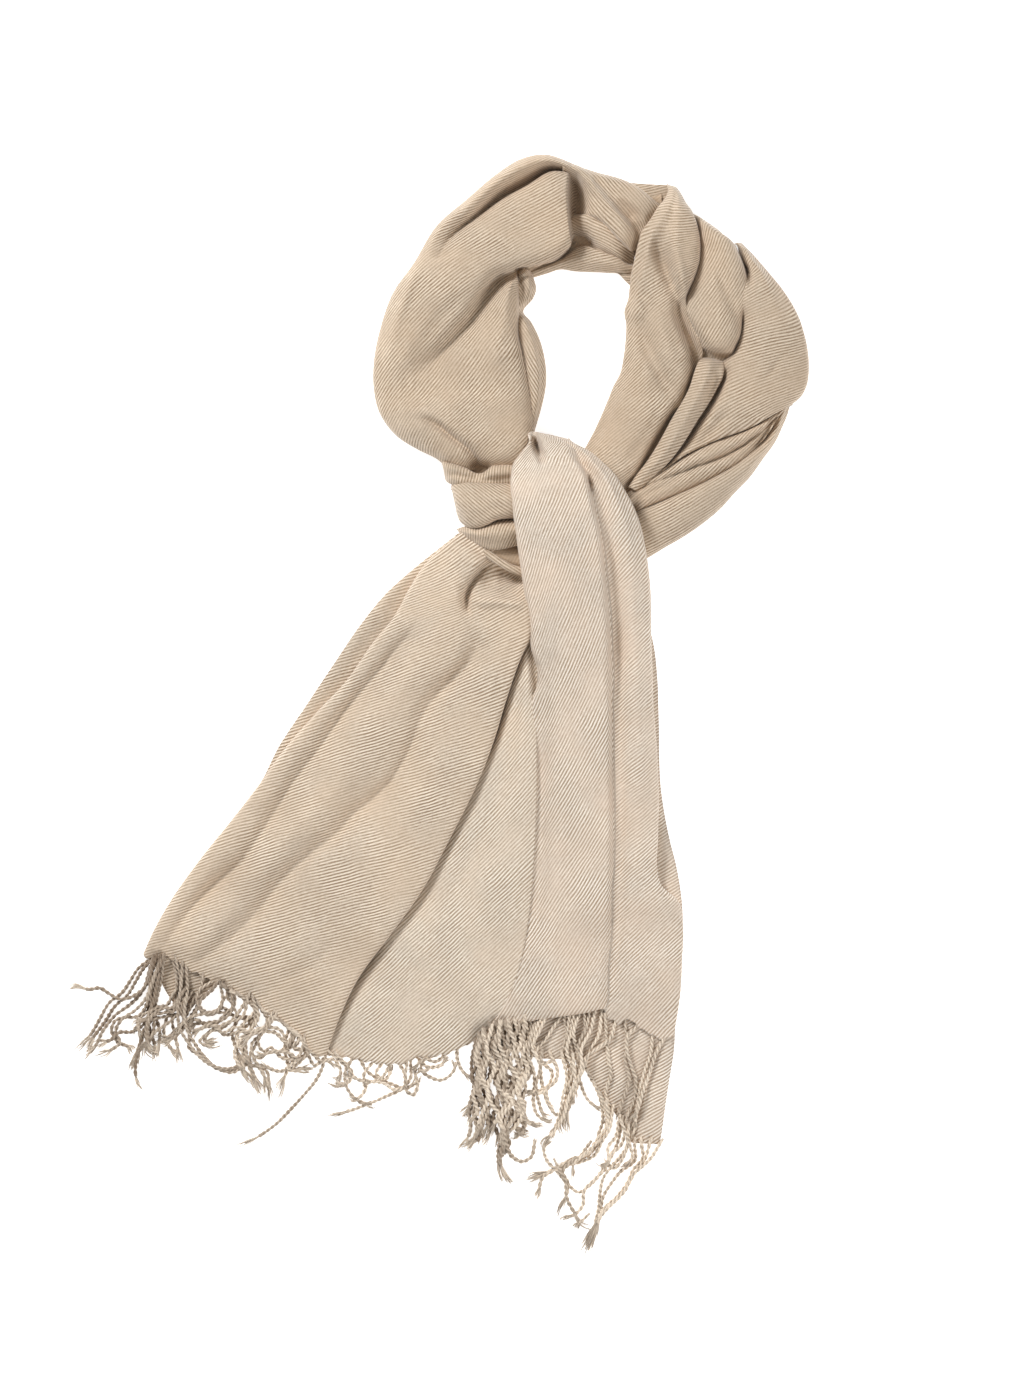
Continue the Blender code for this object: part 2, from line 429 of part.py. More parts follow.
FRINGE_LEFT = (
    Reach((-313.5, -328), (-378, -351)),
    Reach((-306, -332), (-366, -405)),
    Reach((-287, -335.5), (-322, -424)),
    Reach((-266, -345), (-296, -436)),
    Reach((-244, -357), (-262, -430)),
    Reach((-224, -369), (-246, -473)),
    Reach((-202, -384), (-212, -458)),
    Reach((-191, -399), (-186, -449)),
    Reach((-172, -406), (-165, -448)),
    Reach((-140, -416), (-136, -441)),
    Reach((-105, -416), (-100, -432)),
    Reach((-84, -407), (-83, -422)),
)
FRINGE_RIGHT_BUNCH = (
    Reach((-68, -394), (-82, -478)),
    Reach((-58, -392), (-62, -476)),
    Reach((-43, -383), (-36, -503)),
    Reach((-27, -378.5), (-23, -517)),
)
FRINGE_RIGHT_FRONT = (
    Reach((-25, -378), (-21.5, -480)),
    Reach((-7, -373.5), (-4, -470)),
    Reach((14, -371.5), (10, -480)),
    Reach((35, -373.5), (30, -488)),
    Reach((60, -380), (52, -470)),
    Reach((83, -390), (62, -452)),
)
FRINGE_RIGHT_BACK = (
    Reach((-20, -404), (-20.5, -517)),
    Reach((3, -405.5), (-3, -529)),
    Reach((14, -408), (8, -557)),
    Reach((27, -429), (19, -558)),
    Reach((44, -454), (29, -537)),
    Reach((54, -470), (40, -520)),
    Reach((75, -470), (58, -500)),
)

# Colours, as shares of red, green and blue light, and how matt each is.
NECK_COLOUR = (0.60, 0.46, 0.335)
TAIL_COLOUR = (0.72, 0.60, 0.49)
HIDDEN_COLOUR = (0.42, 0.32, 0.23)
FRINGE_COLOUR = (0.55, 0.43, 0.32)
CLOTH_ROUGHNESS = 0.85


def clear_scene():
    for old in list(bpy.data.objects):
        bpy.data.objects.remove(old)


def add_object(name, vertices, faces, colour):
    """One closed mesh, from vertices in millimetres, in its own cloth material."""
    shape = bmesh.new()
    corners = [shape.verts.new(tuple(vertex * MM)) for vertex in np.asarray(vertices, float)]
    for face in faces:
        shape.faces.new([corners[index] for index in face])
    bmesh.ops.recalc_face_normals(shape, faces=shape.faces)
    mesh = bpy.data.meshes.new(name)
    shape.to_mesh(mesh)
    shape.free()
    mesh.shade_smooth()
    mesh.set_sharp_from_angle(angle=CREASE_ANGLE)
    material = bpy.data.materials.new(name)
    material.use_nodes = True
    surface = material.node_tree.nodes["Principled BSDF"]
    surface.inputs["Base Color"].default_value = (*colour, 1)
    surface.inputs["Roughness"].default_value = CLOTH_ROUGHNESS
    surface.inputs["Metallic"].default_value = 0
    mesh.materials.append(material)
    bpy.context.scene.collection.objects.link(bpy.data.objects.new(name, mesh))


def rolled_edge(reach, foot, crest):
    """Distance and height of the points where an edge turns down, from its foot upwards."""
    rise = crest - foot
    tuck = min(EDGE_TUCK, 0.25 * rise)
    shoulder = (SHOULDER_REACH * reach, foot + SHOULDER_RISE * rise)
    return [(tuck, foot), (0.0, foot + EDGE_RISE * rise), shoulder]


def section_points(section, rolls):
    """The points across one section, with a seam's clearance at both edges."""
    left = np.array(section.left, float)
    right = np.array(section.right, float)
    width = np.linalg.norm(right - left)
    across = (right - left) / width
    outward = np.array([across[1], -across[0]])
    first_share, first_height = section.folds[0]
    last_share, last_height = section.folds[-1]
    profile = [(share * width, height) for share, height in section.folds]
    start = [(-SEAM_REACH, section.feet[0])]
    end = [(width + SEAM_REACH, section.feet[1])]
    if rolls[0]:
        start = rolled_edge(first_share * width, section.feet[0], first_height)
    if rolls[1]:
        edge = rolled_edge((1 - last_share) * width, section.feet[1], last_height)
        end = [(width - distance, height) for distance, height in reversed(edge)]
    points = []
    for distance, height in start + profile + end:
        share = distance / width
        bulge = 4 * section.bow * share * (1 - share)
        points.append((*(left + across * distance + outward * bulge), height))
    return points


def form(sections, rolls):
    """The outer face of a stretch, as rows of points."""
    return np.array([section_points(section, rolls) for section in sections])


def smoothed(rows):
    """The same face with a row between each two, on a smooth curve through its neighbours."""
    before = np.concatenate([rows[:1], rows[:-2]])
    after = np.concatenate([rows[2:], rows[-1:]])
    doubled = np.empty((2 * len(rows) - 1, *rows.shape[1:]))
    doubled[::2] = rows
    doubled[1::2] = (9 * (rows[:-1] + rows[1:]) - before - after) / 16
    return doubled


def normals_of(rows):
    """The outward direction at each point of a face, up at its crest."""
    along = np.gradient(rows, axis=0)
    across = np.gradient(rows, axis=1)
    normals = np.cross(across, along)
    normals /= np.linalg.norm(normals, axis=2, keepdims=True)
    middle = normals[:, normals.shape[1] // 2, 2].mean()
    return normals * np.sign(middle)


def grid_faces(count_along, count_across, first, flip):
    faces = []
    for row in range(count_along - 1):
        for column in range(count_across - 1):
            a = first + row * count_across + column
            b = a + count_across
            face = [a, a + 1, b + 1, b]
            faces.append(face[::-1] if flip else face)
    return faces


def rim(count_along, count_across):
    """The indices round the border of a face, in order."""
    top = list(range(count_across))
    right = [row * count_across + count_across - 1 for row in range(1, count_along)]
    bottom = [(count_along - 1) * count_across + column for column in range(count_across - 2, -1, -1)]
    left = [row * count_across for row in range(count_along - 2, 0, -1)]
    return top + right + bottom + left


def close_between(name, outer, inner, colour):
    """A closed solid between two faces with the same rows and columns."""
    along, across = outer.shape[:2]
    count = along * across
    faces = grid_faces(along, across, 0, False) + grid_faces(along, across, count, True)
    border = rim(along, across)
    for here, there in zip(border, border[1:] + border[:1]):
        faces.append([here, here + count, there + count, there])
    vertices = np.concatenate([outer.reshape(-1, 3), inner.reshape(-1, 3)])
    add_object(name, vertices, faces, colour)


def stretch(name, sections, rolls, colour, smooth=False):
    """A stretch of cloth: a wall under its outer face, level with the feet at rolled edges."""
    outer = form(sections, rolls)
    if smooth:
        lowest = outer[:, :, 2].min()
        outer = smoothed(outer)
        outer[:, :, 2] = np.maximum(outer[:, :, 2], lowest)
    inner = outer - normals_of(outer) * WALL
    for column, rolled in ((0, rolls[0]), (-1, rolls[1])):
        if rolled:
            inner[:, column, 2] = outer[:, column, 2]
    inner[:, :, 2] = np.maximum(inner[:, :, 2], outer[:, :, 2].min())
    close_between(name, outer, inner, colour)


def flat_layer(name, layers, colour):
    """A layer that lies flat on the table."""
    rows = []
    for layer in layers:
        left, right = np.array(layer.left, float), np.array(layer.right, float)
        rows.append([(*(left + (right - left) * share), BACK_LAYER) for share in (0.0, 0.5, 1.0)])
    top = np.array(rows)
    bottom = top.copy()
    bottom[:, :, 2] = 0
    close_between(name, top, bottom, colour)


def layers_under(name, sections, rolls, bases, first_row, colour):
    """Hidden layers that fill the room under a stretch, down to a base height in each section."""
    outer = form(sections, rolls)
    inner = outer - normals_of(outer) * (WALL + CORE_DROP)
    first = 3 if rolls[0] else 1
    last = -3 if rolls[1] else -1
    top = inner[first_row:-1, first:last]
    bottom = top.copy()
    bottom[:, :, 2] = np.array(bases, float)[first_row:-1, None]
    top[:, :, 2] = np.maximum(top[:, :, 2], bottom[:, :, 2] + BACK_LAYER)
    close_between(name, top, bottom, colour)


def rounded_layers(name, cores, colour):
    """Hidden layers as a rounded solid on the table, from one core section to the next."""
    round_off = ((0.0, 0.4), (0.1, 0.8), (0.3, 1.0), (0.5, 1.0), (0.7, 1.0), (0.9, 0.8), (1.0, 0.4))
    rows = []
    for core in cores:
        left, right = np.array(core.left, float), np.array(core.right, float)
        rows.append([(*(left + (right - left) * share), core.crown * part) for share, part in round_off])
    top = np.array(rows)
    bottom = top.copy()
    bottom[:, :, 2] = 0
    close_between(name, top, bottom, colour)


def fringe(name, reaches, base, depth, colour):
    """The plain reach of a fringe: full depth at its hem, half of that at its tips."""
    thinning = ((0.0, 1.0), (0.5, 1.0), (1.0, 0.5))
    rows = []
    for reach in reaches:
        root, tip = np.array(reach.root, float), np.array(reach.tip, float)
        rows.append([(*(root + (tip - root) * share), base + depth * part) for share, part in thinning])
    top = np.array(rows)
    bottom = top.copy()
    bottom[:, :, 2] = base
    close_between(name, top, bottom, colour)


def main():
    clear_scene()
    outer_rolls, inner_rolls = (True, False), (False, True)
    both_roll, none_roll = (True, True), (False, False)

    stretch("neck_left", NECK_LEFT, outer_rolls, NECK_COLOUR, smooth=True)
    stretch("neck_left_inner", NECK_LEFT_INNER, inner_rolls, NECK_COLOUR)
    stretch("neck_top_collar", NECK_TOP_COLLAR, outer_rolls, NECK_COLOUR)
    stretch("neck_top_under", NECK_TOP_UNDER, none_roll, NECK_COLOUR)
    stretch("neck_top_bottom", NECK_TOP_BOTTOM, inner_rolls, NECK_COLOUR)
    flat_layer("neck_back_corner", NECK_BACK_CORNER, NECK_COLOUR)
    stretch("neck_right_inner", NECK_RIGHT_INNER, outer_rolls, NECK_COLOUR, smooth=True)
    stretch("neck_right_middle", NECK_RIGHT_MIDDLE, none_roll, NECK_COLOUR)
    stretch("neck_right_outer", NECK_RIGHT_OUTER, inner_rolls, NECK_COLOUR, smooth=True)
    stretch("neck_right_finger", NECK_RIGHT_FINGER, none_roll, NECK_COLOUR)
    stretch("neck_lower_band", NECK_LOWER_BAND, none_roll, NECK_COLOUR)
    stretch("neck_lower", NECK_LOWER, inner_rolls, NECK_COLOUR, smooth=True)

    stretch("knot_ruffle", KNOT_RUFFLE, none_roll, NECK_COLOUR)
    stretch("knot_wrap", KNOT_WRAP, none_roll, NECK_COLOUR)
    stretch("knot_under", KNOT_UNDER, none_roll, NECK_COLOUR)
    stretch("knot_hem", KNOT_HEM, none_roll, NECK_COLOUR)

    stretch("tail_left_front", TAIL_LEFT_FRONT, outer_rolls, TAIL_COLOUR, smooth=True)
    stretch("tail_left_fold", TAIL_LEFT_FOLD, none_roll, TAIL_COLOUR)
    stretch("tail_right_front", TAIL_RIGHT_FRONT, both_roll, TAIL_COLOUR)
    flat_layer("tail_left_back", TAIL_LEFT_BACK, TAIL_COLOUR)
    flat_layer("tail_right_back", TAIL_RIGHT_BACK, TAIL_COLOUR)

    rounded_layers("hidden_ring_left", RING_LEFT_CORE, HIDDEN_COLOUR)
    rounded_layers("hidden_ring_top", RING_TOP_CORE, HIDDEN_COLOUR)
    rounded_layers("hidden_ring_right", RING_RIGHT_CORE, HIDDEN_COLOUR)
    rounded_layers("hidden_knot", KNOT_CORE, HIDDEN_COLOUR)
    left_bases = [ON_BACK] * len(TAIL_LEFT_FRONT)
    layers_under("hidden_tail_left", TAIL_LEFT_FRONT, outer_rolls, left_bases, 3, HIDDEN_COLOUR)
    over_knot = [KNOT_CROWN + LAYER_GAP] * 6 + [KNOT_SLOPE]
    right_bases = over_knot + [ON_BACK] * (len(TAIL_RIGHT_FRONT) - len(over_knot))
    layers_under("hidden_tail_right", TAIL_RIGHT_FRONT, both_roll, right_bases, 1, HIDDEN_COLOUR)

    fringe("fringe_left", FRINGE_LEFT, ON_BACK, FRINGE_DEPTH, FRINGE_COLOUR)
    fringe("fringe_right_bunch", FRINGE_RIGHT_BUNCH, ON_BACK, FRINGE_DEPTH, FRINGE_COLOUR)
    fringe("fringe_right_front", FRINGE_RIGHT_FRONT, ON_BACK, FRINGE_DEPTH, FRINGE_COLOUR)
    fringe("fringe_right_back", FRINGE_RIGHT_BACK, 0.0, BACK_LAYER, FRINGE_COLOUR)


main()
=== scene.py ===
"""Looks of the fringed wrap scarf, lying flat: cloth shells with their folds, twill, and twisted fringe.

Every stretch of cloth is a smooth surface through cross-sections in millimetres, in the frame of the
CAD model: X right, Y up towards the neck ring, Z towards the camera.
"""

import math
from collections import namedtuple

import bpy
import numpy as np
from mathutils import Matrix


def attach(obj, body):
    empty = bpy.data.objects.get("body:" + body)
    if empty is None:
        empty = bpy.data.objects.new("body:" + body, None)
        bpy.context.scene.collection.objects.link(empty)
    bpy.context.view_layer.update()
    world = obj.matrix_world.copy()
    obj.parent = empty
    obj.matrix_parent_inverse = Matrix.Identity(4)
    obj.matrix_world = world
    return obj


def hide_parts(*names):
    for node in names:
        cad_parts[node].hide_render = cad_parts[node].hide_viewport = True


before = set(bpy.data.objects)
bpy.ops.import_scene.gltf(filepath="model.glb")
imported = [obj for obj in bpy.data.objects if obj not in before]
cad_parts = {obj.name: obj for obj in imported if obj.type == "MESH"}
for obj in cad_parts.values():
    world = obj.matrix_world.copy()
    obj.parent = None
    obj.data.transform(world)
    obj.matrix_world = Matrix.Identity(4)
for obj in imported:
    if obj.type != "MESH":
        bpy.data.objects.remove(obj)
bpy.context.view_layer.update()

MM = 0.001
THICKNESS = 0.8  # one layer of twill
TWILL_PITCH = 2.2  # from one twill line to the next
TWILL_LEAN = 0.8  # share of the cloth's slope across that the lines follow
ROOT_SPACING = 9.0  # from one tassel's root to the next, as the gathered hem lies
HEM_REACH = 40.0  # how far in from its hem a stretch follows the hem's shape
MARGIN = 0.3  # how far a plain edge stands out past its section's end

STEP = 1.55  # between the points of a cloth's mesh
BACK_STEPS = (3.4, 2.0)  # the same for the two flat layers at the back, left and right
CORE_STEPS = (4.0, 3.0)  # the same for the hidden layers, along and across

STEEPEST = 2.5  # of a limited curve at a knot, as a multiple of the smaller slope beside it
TINY = 1e-9

# A section runs across a stretch from left to right. feet: heights of its two edges. folds: (share of
# the way across, height). bow: how far its middle bulges to the right of its direction.
Section = namedtuple("Section", "left right feet folds bow", defaults=(0.0,))

# A stroke presses a groove into the cloth (or raises a ridge, if depth is below 0) along a path of
# (x, y, strength). power 2 is a soft trough and 1 a sharp crease.
Stroke = namedtuple("Stroke", "path width depth power")


def sections(rows):
    """Sections from rows of left end, right end, feet, and a (share, height) for each fold."""
    return [Section(left, right, feet, folds) for left, right, feet, *folds in rows]


def folded(shares, rows):
    """Sections with their folds at the same shares, from rows that end with the folds' heights."""
    return [Section(left, right, feet, list(zip(shares, heights))) for left, right, feet, *heights in rows]


def stroke(width, depth, strengths, *places, power=2.0):
    """A stroke through x, y, x, y, ... Its strengths are one for each point, or just those of the
    first and the last with 1 between them."""
    points = np.array(places, float).reshape(-1, 2)
    if len(strengths) < len(points):
        first, last = strengths
        strengths = [first] + [1] * (len(points) - 2) + [last]
    return Stroke(np.column_stack([points, strengths]), width, depth, power)


# ---------------------------------------------------------------- smooth surfaces


def unit(vectors):
    return vectors / np.maximum(np.linalg.norm(vectors, axis=-1, keepdims=True), TINY)


def run_along(points):
    """Distance from the first point to each, along the line through them all."""
    return np.concatenate([[0], np.cumsum(np.linalg.norm(np.diff(points, axis=0), axis=1))])


def slopes(values, knots, limited):
    """Slope at each knot from both its neighbours. limited: never steep enough to overshoot them."""
    step = np.diff(knots).reshape((-1,) + (1,) * (values.ndim - 1))
    rise = np.diff(values, axis=0) / step
    out = np.empty_like(values)
    out[0], out[-1] = rise[0], rise[-1]
    before, after = step[:-1], step[1:]
    out[1:-1] = (after * rise[:-1] + before * rise[1:]) / (before + after)
    if limited:
        same = rise[:-1] * rise[1:] > 0
        most = STEEPEST * np.minimum(abs(rise[:-1]), abs(rise[1:]))
        out[1:-1] = np.where(same, np.sign(rise[1:]) * np.minimum(abs(out[1:-1]), most), 0)
    return out


def curve(values, knots, at, limited=False):
    """A smooth curve through values (along axis 0), read at the places in at."""
    tangent = slopes(values, knots, limited)
    index = np.clip(np.searchsorted(knots, at, side="right") - 1, 0, len(knots) - 2)
    width = (knots[index + 1] - knots[index]).reshape((-1,) + (1,) * (values.ndim - 1))
    t = (at - knots[index]).reshape(width.shape) / width
    a, b = values[index], values[index + 1]
    ma, mb = tangent[index] * width, tangent[index + 1] * width
    return (
        a * (2 * t**3 - 3 * t**2 + 1)
        + ma * (t**3 - 2 * t**2 + t)
        + b * (3 * t**2 - 2 * t**3)
        + mb * (t**3 - t**2)
    )


def places_between(knots, step):
    """Sample places that include every knot."""
    found = [knots[:1]]
    for a, b in zip(knots[:-1], knots[1:]):
        count = max(1, math.ceil((b - a) / step))
        found.append(a + (b - a) * np.arange(1, count + 1) / count)
    return np.concatenate(found)


def finer(net, axis, step):
    """The net with a row every step along one axis: smooth in plan, and no bumps between its heights."""
    net = np.moveaxis(net, axis, 0)
    gaps = np.linalg.norm(np.diff(net, axis=0), axis=2).mean(axis=1)
    knots = np.concatenate([[0], np.cumsum(np.maximum(gaps, 0.05))])
    at = places_between(knots, step)
    plan = curve(net[..., :2], knots, at)
    height = curve(net[..., 2:], knots, at, limited=True)
    return np.moveaxis(np.concatenate([plan, height], axis=2), 0, axis)


# ---------------------------------------------------------------- cross-sections


def rolled(foot, crest, reach, layers):
    """(distance in, height) from a rolled edge's foot upwards, with a groove between its layers."""
    rise = crest - foot
    tuck = min(4.0, 0.3 * rise)  # how far the foot is drawn in under the roll
    side = 0.62 * rise  # height of the layers' edges, below the roll's shoulder
    points = [(tuck, foot), (0.35 * tuck, foot + 0.03 * rise)]
    for layer in range(layers):
        last = layer == layers - 1
        low, high = (foot + side * edge / layers for edge in (layer, layer + 1))
        points.append((0.0 if last else 0.5, 0.5 * (low + high)))
        if not last:
            points.append((0.9 + 0.05 * rise, high))
    points.append((0.22 * reach, foot + 0.86 * rise))
    return points


def control_net(rows, rolls):
    """Points across each section. rolls: how many layers show at its left and right edge, or 0."""
    net = []
    for section in rows:
        left, right = np.array(section.left, float), np.array(section.right, float)
        width = np.linalg.norm(right - left)
        across = (right - left) / width
        outward = np.array([across[1], -across[0]])
        profile = [(share * width, height) for share, height in section.folds]
        start, end = [(-MARGIN, section.feet[0])], [(width + MARGIN, section.feet[1])]
        if rolls[0]:
            start = rolled(section.feet[0], section.folds[0][1], profile[0][0], rolls[0])
        if rolls[1]:
            edge = rolled(section.feet[1], section.folds[-1][1], width - profile[-1][0], rolls[1])
            end = [(width - distance, height) for distance, height in reversed(edge)]
        points = []
        for distance, height in start + profile + end:
            share = distance / width
            place = left + across * distance + outward * 4 * section.bow * share * (1 - share)
            points.append((*place, height))
        net.append(points)
    return np.array(net)


def facing(grid):
    """Upright vectors at each point of a grid, before they are turned up and cut to length 1."""
    along, across = np.gradient(grid, axis=0), np.gradient(grid, axis=1)
    return np.cross(across, along)


def normals_of(grid):
    normals = unit(facing(grid))
    return normals * (1 if normals[..., 2].mean() > 0 else -1)


def value_noise(u, v, seed):
    """Smooth noise from -1 to 1 on a lattice of spacing 1."""
    size = 64
    lattice = np.random.RandomState(seed).uniform(-1, 1, (size, size))
    i, j = np.floor(u).astype(int), np.floor(v).astype(int)
    fu, fv = u - i, v - j
    fu, fv = fu * fu * (3 - 2 * fu), fv * fv * (3 - 2 * fv)
    a, b = lattice[i % size, j % size], lattice[(i + 1) % size, j % size]
    c, d = lattice[i % size, (j + 1) % size], lattice[(i + 1) % size, (j + 1) % size]
    return (a * (1 - fu) + b * fu) * (1 - fv) + (c * (1 - fu) + d * fu) * fv


def distance_to(path, points):
    """Distance from each point to the path, and the path's strength there."""
    best = np.full(len(points), 1e9)
    strength = np.zeros(len(points))
    for a, b in zip(path[:-1], path[1:]):
        way = b[:2] - a[:2]
        t = np.clip(((points - a[:2]) @ way) / max(way @ way, TINY), 0, 1)
        gap = np.linalg.norm(points - (a[:2] + t[:, None] * way), axis=1)
        nearer = gap < best
        best = np.where(nearer, gap, best)
        strength = np.where(nearer, a[2] + (b[2] - a[2]) * t, strength)
    return best, strength


def press(grid, strokes):
    """Presses the strokes into the cloth, less and less where its side turns down."""
    level = np.clip((normals_of(grid)[..., 2].ravel() - 0.05) / 0.35, 0, 1)
    points = grid.reshape(-1, 3).copy()
    for each in strokes:
        gap, strength = distance_to(each.path, points[:, :2])
        fall = np.exp(-((gap / each.width) ** each.power))
        points[:, 2] -= each.depth * strength * fall * level
    return points.reshape(grid.shape)


# The layers of uneven creases: depth, width, length, and how far they slant as they run.
CREASES = [(0.55, 26, 75, 0), (0.28, 11, 34, 0.004), (0.06, 5.5, 18, 0.01)]


def crumple(grid, seed, amount):
    """Shallow, uneven creases that run mostly along the stretch."""
    u, v = arc_lengths(grid)
    wave = sum(
        depth * value_noise(u / width + slant * v, v / length, seed + layer)
        for layer, (depth, width, length, slant) in enumerate(CREASES)
    )
    normals = normals_of(grid)
    weight = np.clip(normals[..., 2:] * 1.5, 0.25, 1)
    return grid + normals * wave[..., None] * weight * amount


def arc_lengths(grid):
    """Distance across and along the cloth at each point, from its middle."""
    middle_row, middle = grid.shape[0] // 2, grid.shape[1] // 2
    across = np.linalg.norm(np.diff(grid, axis=1), axis=2)
    u = np.concatenate([np.zeros((len(grid), 1)), np.cumsum(across, axis=1)], axis=1)
    u -= u[:, middle : middle + 1]
    along = np.linalg.norm(np.diff(grid, axis=0), axis=2)
    v = np.concatenate([np.zeros((1, grid.shape[1])), np.cumsum(along, axis=0)], axis=0)
    v = v - v[middle_row : middle_row + 1]
    return u, 0.35 * v + 0.65 * v[:, middle : middle + 1]


def smoothed(values, width):
    kernel = np.exp(-0.5 * (np.arange(-3 * width, 3 * width + 1) / width) ** 2)
    kernel /= kernel.sum()
    padded = np.pad(values, (3 * width, 3 * width), mode="edge")
    return np.convolve(padded, kernel, mode="valid")


def hidden_length(grid, axis):
    """How much longer the cloth is than its plan, up to each point along one axis, smoothed."""
    step = np.diff(np.moveaxis(grid, axis, 0), axis=0)
    extra = np.linalg.norm(step, axis=2) - np.linalg.norm(step[..., :2], axis=2)
    extra = np.concatenate([np.zeros((1, extra.shape[1])), np.cumsum(extra, axis=0)])
    extra -= extra[len(extra) // 2]
    extra = np.moveaxis(extra, 0, axis)
    return np.apply_along_axis(smoothed, 1 - axis, extra, 8)


def twill_map(grid, headings, split=None):
    """Coordinates across and along the twill lines. headings: their directions in degrees, end to end,
    or pairs of them for the two sides of a crease at the share across that split gives."""
    plan = grid[..., :2]
    if split:
        middle = plan[len(plan) // 2]
        share = np.linalg.norm(middle - middle[0], axis=1) / np.linalg.norm(middle[-1] - middle[0])
        sides = [twill_map(grid, [pair[side] for pair in headings]) for side in (0, 1)]
        return np.where((share < split)[None, :, None], *sides)
    centre = 0.5 * (plan[:, 0] + plan[:, -1])
    legs = np.diff(centre, axis=0)
    share = run_along(centre)
    angle = np.radians(np.interp(share / share[-1], np.linspace(0, 1, len(headings)), headings))
    offset = plan - centre[:, None]
    found = []
    for way in ([-np.sin(angle), np.cos(angle)], [np.cos(angle), np.sin(angle)]):
        way = np.stack(way, axis=1)
        travelled = np.cumsum((legs * 0.5 * (way[1:] + way[:-1])).sum(axis=1))
        found.append((offset * way[:, None]).sum(axis=2) + np.concatenate([[0], travelled])[:, None])
    for axis, way in ((1, plan[:, -1] - plan[:, 0]), (0, np.gradient(centre, axis=0))):
        way = unit(way)
        slant = way[:, 1] * np.cos(angle) - way[:, 0] * np.sin(angle)
        found[0] = found[0] + TWILL_LEAN * hidden_length(grid, axis) * slant[:, None]
    return np.stack(found, axis=2)


# ---------------------------------------------------------------- meshes


def mesh_object(name, points, faces, uv=None, material=None, smooth=True, shade=None):
    """An object from points in millimetres. uv: millimetres too, and shade: two more values a point."""
    mesh = bpy.data.meshes.new(name)
    mesh.vertices.add(len(points))
    mesh.vertices.foreach_set("co", (np.asarray(points, np.float64) * MM).astype(np.float32).ravel())
    faces = np.asarray(faces, np.int32)
    sides = faces.shape[1]
    mesh.loops.add(faces.size)
    mesh.loops.foreach_set("vertex_index", faces.ravel())
    mesh.polygons.add(len(faces))
    mesh.polygons.foreach_set("loop_start", np.arange(0, faces.size, sides, dtype=np.int32))
    mesh.update(calc_edges=True)
    for layer_name, values, scale in (("twill", uv, MM), ("shade", shade, 1)):
        if values is not None:
            corners = np.asarray(values)[faces.ravel()] * scale
            layer = mesh.uv_layers.new(name=layer_name)
            layer.data.foreach_set("uv", corners.astype(np.float32).ravel())
    if smooth:
        mesh.shade_smooth()
    mesh.materials.append(material)
    piece = bpy.data.objects.new(name, mesh)
    bpy.context.scene.collection.objects.link(piece)
    return piece


def grid_faces(rows, columns, flip=False):
    i, j = np.meshgrid(np.arange(rows - 1), np.arange(columns - 1), indexing="ij")
    a = (i * columns + j).ravel()
    faces = np.stack([a, a + 1, a + columns + 1, a + columns], axis=1)
    return faces[:, ::-1] if flip else faces


def slab(top):
    """Points and faces of a closed solid from a top grid down to the table."""
    rows, columns = top.shape[:2]
    under = top.copy()
    under[..., 2] = np.minimum(0.0, top[..., 2])
    count = rows * columns
    number = np.arange(count).reshape(rows, columns)
    here = np.concatenate([number[0], number[1:, -1], number[-1, -2::-1], number[-2:0:-1, 0]])
    there = np.roll(here, -1)
    walls = np.stack([here, here + count, there + count, there], axis=1)
    faces = np.concatenate([grid_faces(rows, columns, True), grid_faces(rows, columns) + count, walls])
    return np.concatenate([top.reshape(-1, 3), under.reshape(-1, 3)]), faces


CELL = 2.0
GROUND_CORNER = np.array([-420.0, -640.0])
ground = np.zeros((280, 260))  # height of what lies under the fringe, by cell


def note_heights(points, rise=0.0):
    """Raises the ground to the points, plus rise."""
    cells = np.round((points[..., :2].reshape(-1, 2) - GROUND_CORNER) / CELL).astype(int)
    inside = ((cells >= 0) & (cells < ground.shape)).all(axis=1)
    heights = points[..., 2].reshape(-1) + rise
    np.maximum.at(ground, (cells[inside, 0], cells[inside, 1]), heights[inside])


def cloth(name, rows, rolls, headings, material, held, seed, amount, strokes=(), hem=(), step=STEP,
          lining=False, scallop=False, split=None):
    """A stretch of cloth as a thin shell, in place of its CAD node. rolls, headings, split: as control_net
    and twill_map take them. amount: depth of its creases. A lining stands for no CAD node."""
    net = control_net(rows, rolls)
    grid = finer(finer(net, 0, step), 1, step)
    if hem:
        grid = shape_hem(grid, hem)
    grid = crumple(press(grid, strokes), seed, amount)
    if scallop:
        grid = scalloped(grid)
    grid[..., 2] = np.maximum(grid[..., 2], max(net[..., 2].min(), THICKNESS + 0.1))
    uv = twill_map(grid, headings, split)
    faces = grid_faces(*grid.shape[:2], flip=bool(facing(grid)[..., 2].mean() < 0))
    piece = mesh_object(name, grid.reshape(-1, 3), faces, uv.reshape(-1, 2), material)
    shell = piece.modifiers.new("thickness", "SOLIDIFY")
    shell.thickness = THICKNESS * MM
    shell.offset = -1
    nodes = [] if lining else [name]
    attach(piece, "root")
    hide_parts(*nodes)
    area = sum_area(grid) * MM * MM
    if held == "laid":
        note_heights(grid)
    return piece


def sum_area(grid):
    a, b = grid[1:, :-1] - grid[:-1, :-1], grid[:-1, 1:] - grid[:-1, :-1]
    c, d = grid[1:, :-1] - grid[1:, 1:], grid[:-1, 1:] - grid[1:, 1:]
    halves = (np.linalg.norm(np.cross(*pair), axis=2) for pair in ((a, b), (c, d)))
    return float(sum(halves).sum() / 2)


